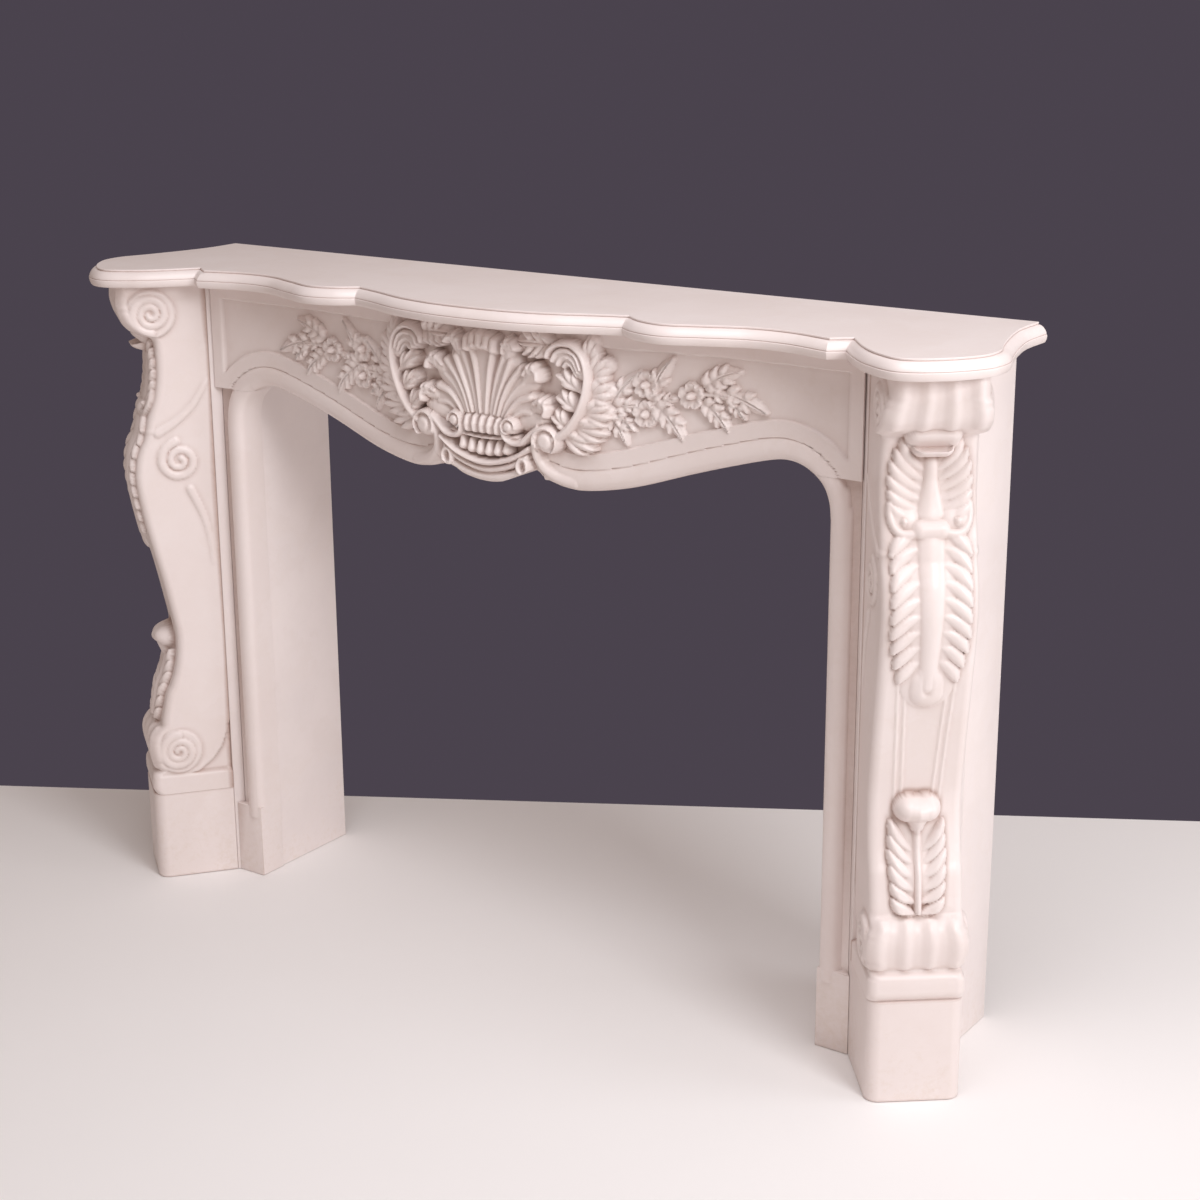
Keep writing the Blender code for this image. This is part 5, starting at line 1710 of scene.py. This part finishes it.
@dataclass(frozen=True)
class SoftLight:
    """One soft studio light.

    Args:
        name: What the light does.
        place: Where it stands.
        target: What it points at.
        size: The sides of its soft box.
        power: Its power in watts.
        colour: Its colour.
    """

    name: str
    place: tuple[float, float, float]
    target: tuple[float, float, float]
    size: tuple[float, float]
    power: float
    colour: Colour = (1.0, 1.0, 1.0)

    def build(self) -> None:
        """Add the light."""
        lamp = bpy.data.lights.new(self.name, "AREA")
        lamp.shape = "RECTANGLE"
        lamp.size, lamp.size_y = self.size
        lamp.energy = self.power
        lamp.color = self.colour
        obj = bpy.data.objects.new(self.name, lamp)
        bpy.context.scene.collection.objects.link(obj)
        obj.location = self.place
        aim = Vector(self.target) - Vector(self.place)
        obj.rotation_euler = aim.to_track_quat("-Z", "Y").to_euler()


@dataclass
class Studio:
    """The camera at the photograph's angle, the floor and the soft lights."""

    camera_place: tuple[float, float, float] = (2.016, -2.7195, 1.631)
    yaw: float = math.radians(34.55)
    pitch: float = math.radians(16.88)
    roll: float = math.radians(-0.34)
    lens: float = 65.98
    floor_edge: tuple[float, float, float] = (-0.350, 0.526, 0.0)
    floor_turn: float = math.radians(29.15)
    floor_half_size: tuple[float, float] = (6.0, 3.0)
    floor_drop: float = 0.0006
    backdrop: Colour = (0.069, 0.056, 0.075)
    room_tone: Colour = (1.00, 0.80, 0.72)
    room_strength: float = 0.28
    lights: tuple[SoftLight, ...] = (
        SoftLight("key", (3.7, -1.5, 2.5), (0.2, 0.0, 0.6), (1.4, 1.4), 72.0, (0.96, 0.97, 1.0)),
        SoftLight("overhead", (0.9, -0.8, 3.2), (0.1, 0.0, 0.9), (2.4, 1.8), 50.0, (0.94, 0.95, 1.0)),
        SoftLight("side", (3.0, 0.9, 1.3), (0.8, 0.1, 0.5), (1.2, 1.6), 17.0, (0.92, 0.94, 1.0)),
        SoftLight("low front", (0.9, -3.6, 0.9), (0.0, 0.0, 0.35), (2.4, 0.8), 4.5, (1.0, 0.90, 0.84)),
    )

    def build(self) -> None:
        """Build the whole studio."""
        bpy.context.scene.view_settings.view_transform = "Standard"
        self._camera()
        self._floor()
        self._world()
        for light in self.lights:
            light.build()

    def _camera(self) -> None:
        """Add the camera."""
        data = bpy.data.cameras.new("camera")
        data.sensor_fit = "HORIZONTAL"
        data.sensor_width = 36.0
        data.lens = self.lens
        data.clip_start = 0.05
        data.clip_end = 60.0
        data.dof.use_dof = False
        camera = bpy.data.objects.new("camera", data)
        bpy.context.scene.collection.objects.link(camera)
        level = math.cos(self.pitch)
        look = Vector((-math.sin(self.yaw) * level, math.cos(self.yaw) * level, -math.sin(self.pitch)))
        right = look.cross(Vector((0.0, 0.0, 1.0))).normalized()
        up = right.cross(look)
        cosine = math.cos(self.roll)
        sine = math.sin(self.roll)
        right, up = right * cosine + up * sine, up * cosine - right * sine
        turn = Matrix((right, up, -look)).transposed().to_4x4()
        camera.matrix_world = Matrix.Translation(self.camera_place) @ turn
        bpy.context.scene.camera = camera

    def _floor(self) -> None:
        """Add the floor."""
        bm = bmesh.new()
        bmesh.ops.create_grid(bm, x_segments=2, y_segments=2, size=1.0)
        bmesh.ops.scale(bm, vec=(*self.floor_half_size, 1.0), verts=bm.verts)
        bmesh.ops.translate(bm, vec=(0.0, -self.floor_half_size[1], -self.floor_drop), verts=bm.verts)
        bmesh.ops.rotate(bm, matrix=Matrix.Rotation(self.floor_turn, 3, "Z"), verts=bm.verts)
        bmesh.ops.translate(bm, vec=self.floor_edge, verts=bm.verts)
        mesh = bpy.data.meshes.new("floor")
        bm.to_mesh(mesh)
        bm.free()
        mesh.materials.append(FloorFinish().build())
        floor = bpy.data.objects.new("floor", mesh)
        bpy.context.scene.collection.objects.link(floor)

    def _world(self) -> None:
        """Surround the studio: the stone is lit by a pale room, the camera sees a dark backdrop."""
        world = bpy.data.worlds.new("studio")
        bpy.context.scene.world = world
        world.use_nodes = True
        nodes = world.node_tree.nodes
        links = world.node_tree.links
        backdrop = nodes["Background"]
        room = nodes.new("ShaderNodeBackground")
        glows = ((backdrop, self.backdrop, 1.0), (room, self.room_tone, self.room_strength))
        for shade, tone, strength in glows:
            shade.inputs["Color"].default_value = rgba(tone)
            shade.inputs["Strength"].default_value = strength
        path = nodes.new("ShaderNodeLightPath")
        mix = nodes.new("ShaderNodeMixShader")
        links.new(path.outputs["Is Camera Ray"], mix.inputs[0])
        links.new(room.outputs[0], mix.inputs[1])
        links.new(backdrop.outputs[0], mix.inputs[2])
        links.new(mix.outputs[0], nodes["World Output"].inputs["Surface"])


def main() -> None:
    """Build the studio and dress every stone."""
    logging.basicConfig(level=logging.INFO, format="%(message)s")
    Studio().build()
    carved = StoneFinish("honed cream stone", "carved_stone")
    slab = StoneFinish("sawn cream stone", "slab_stone", tone=(0.82, 0.74, 0.72), roughness=0.42)
    carved_material = carved.build()
    slab_material = slab.build()
    Shelf().build(carved, carved_material)
    Frieze().build(carved, carved_material)
    for side in Side:
        Console().build(side, carved, carved_material)
        ConsolePlinth().build(side, carved, carved_material)
        Jamb().build(side, carved, carved_material)
        Slabs().build(side, slab, slab_material)


if __name__ == "__main__":
    main()
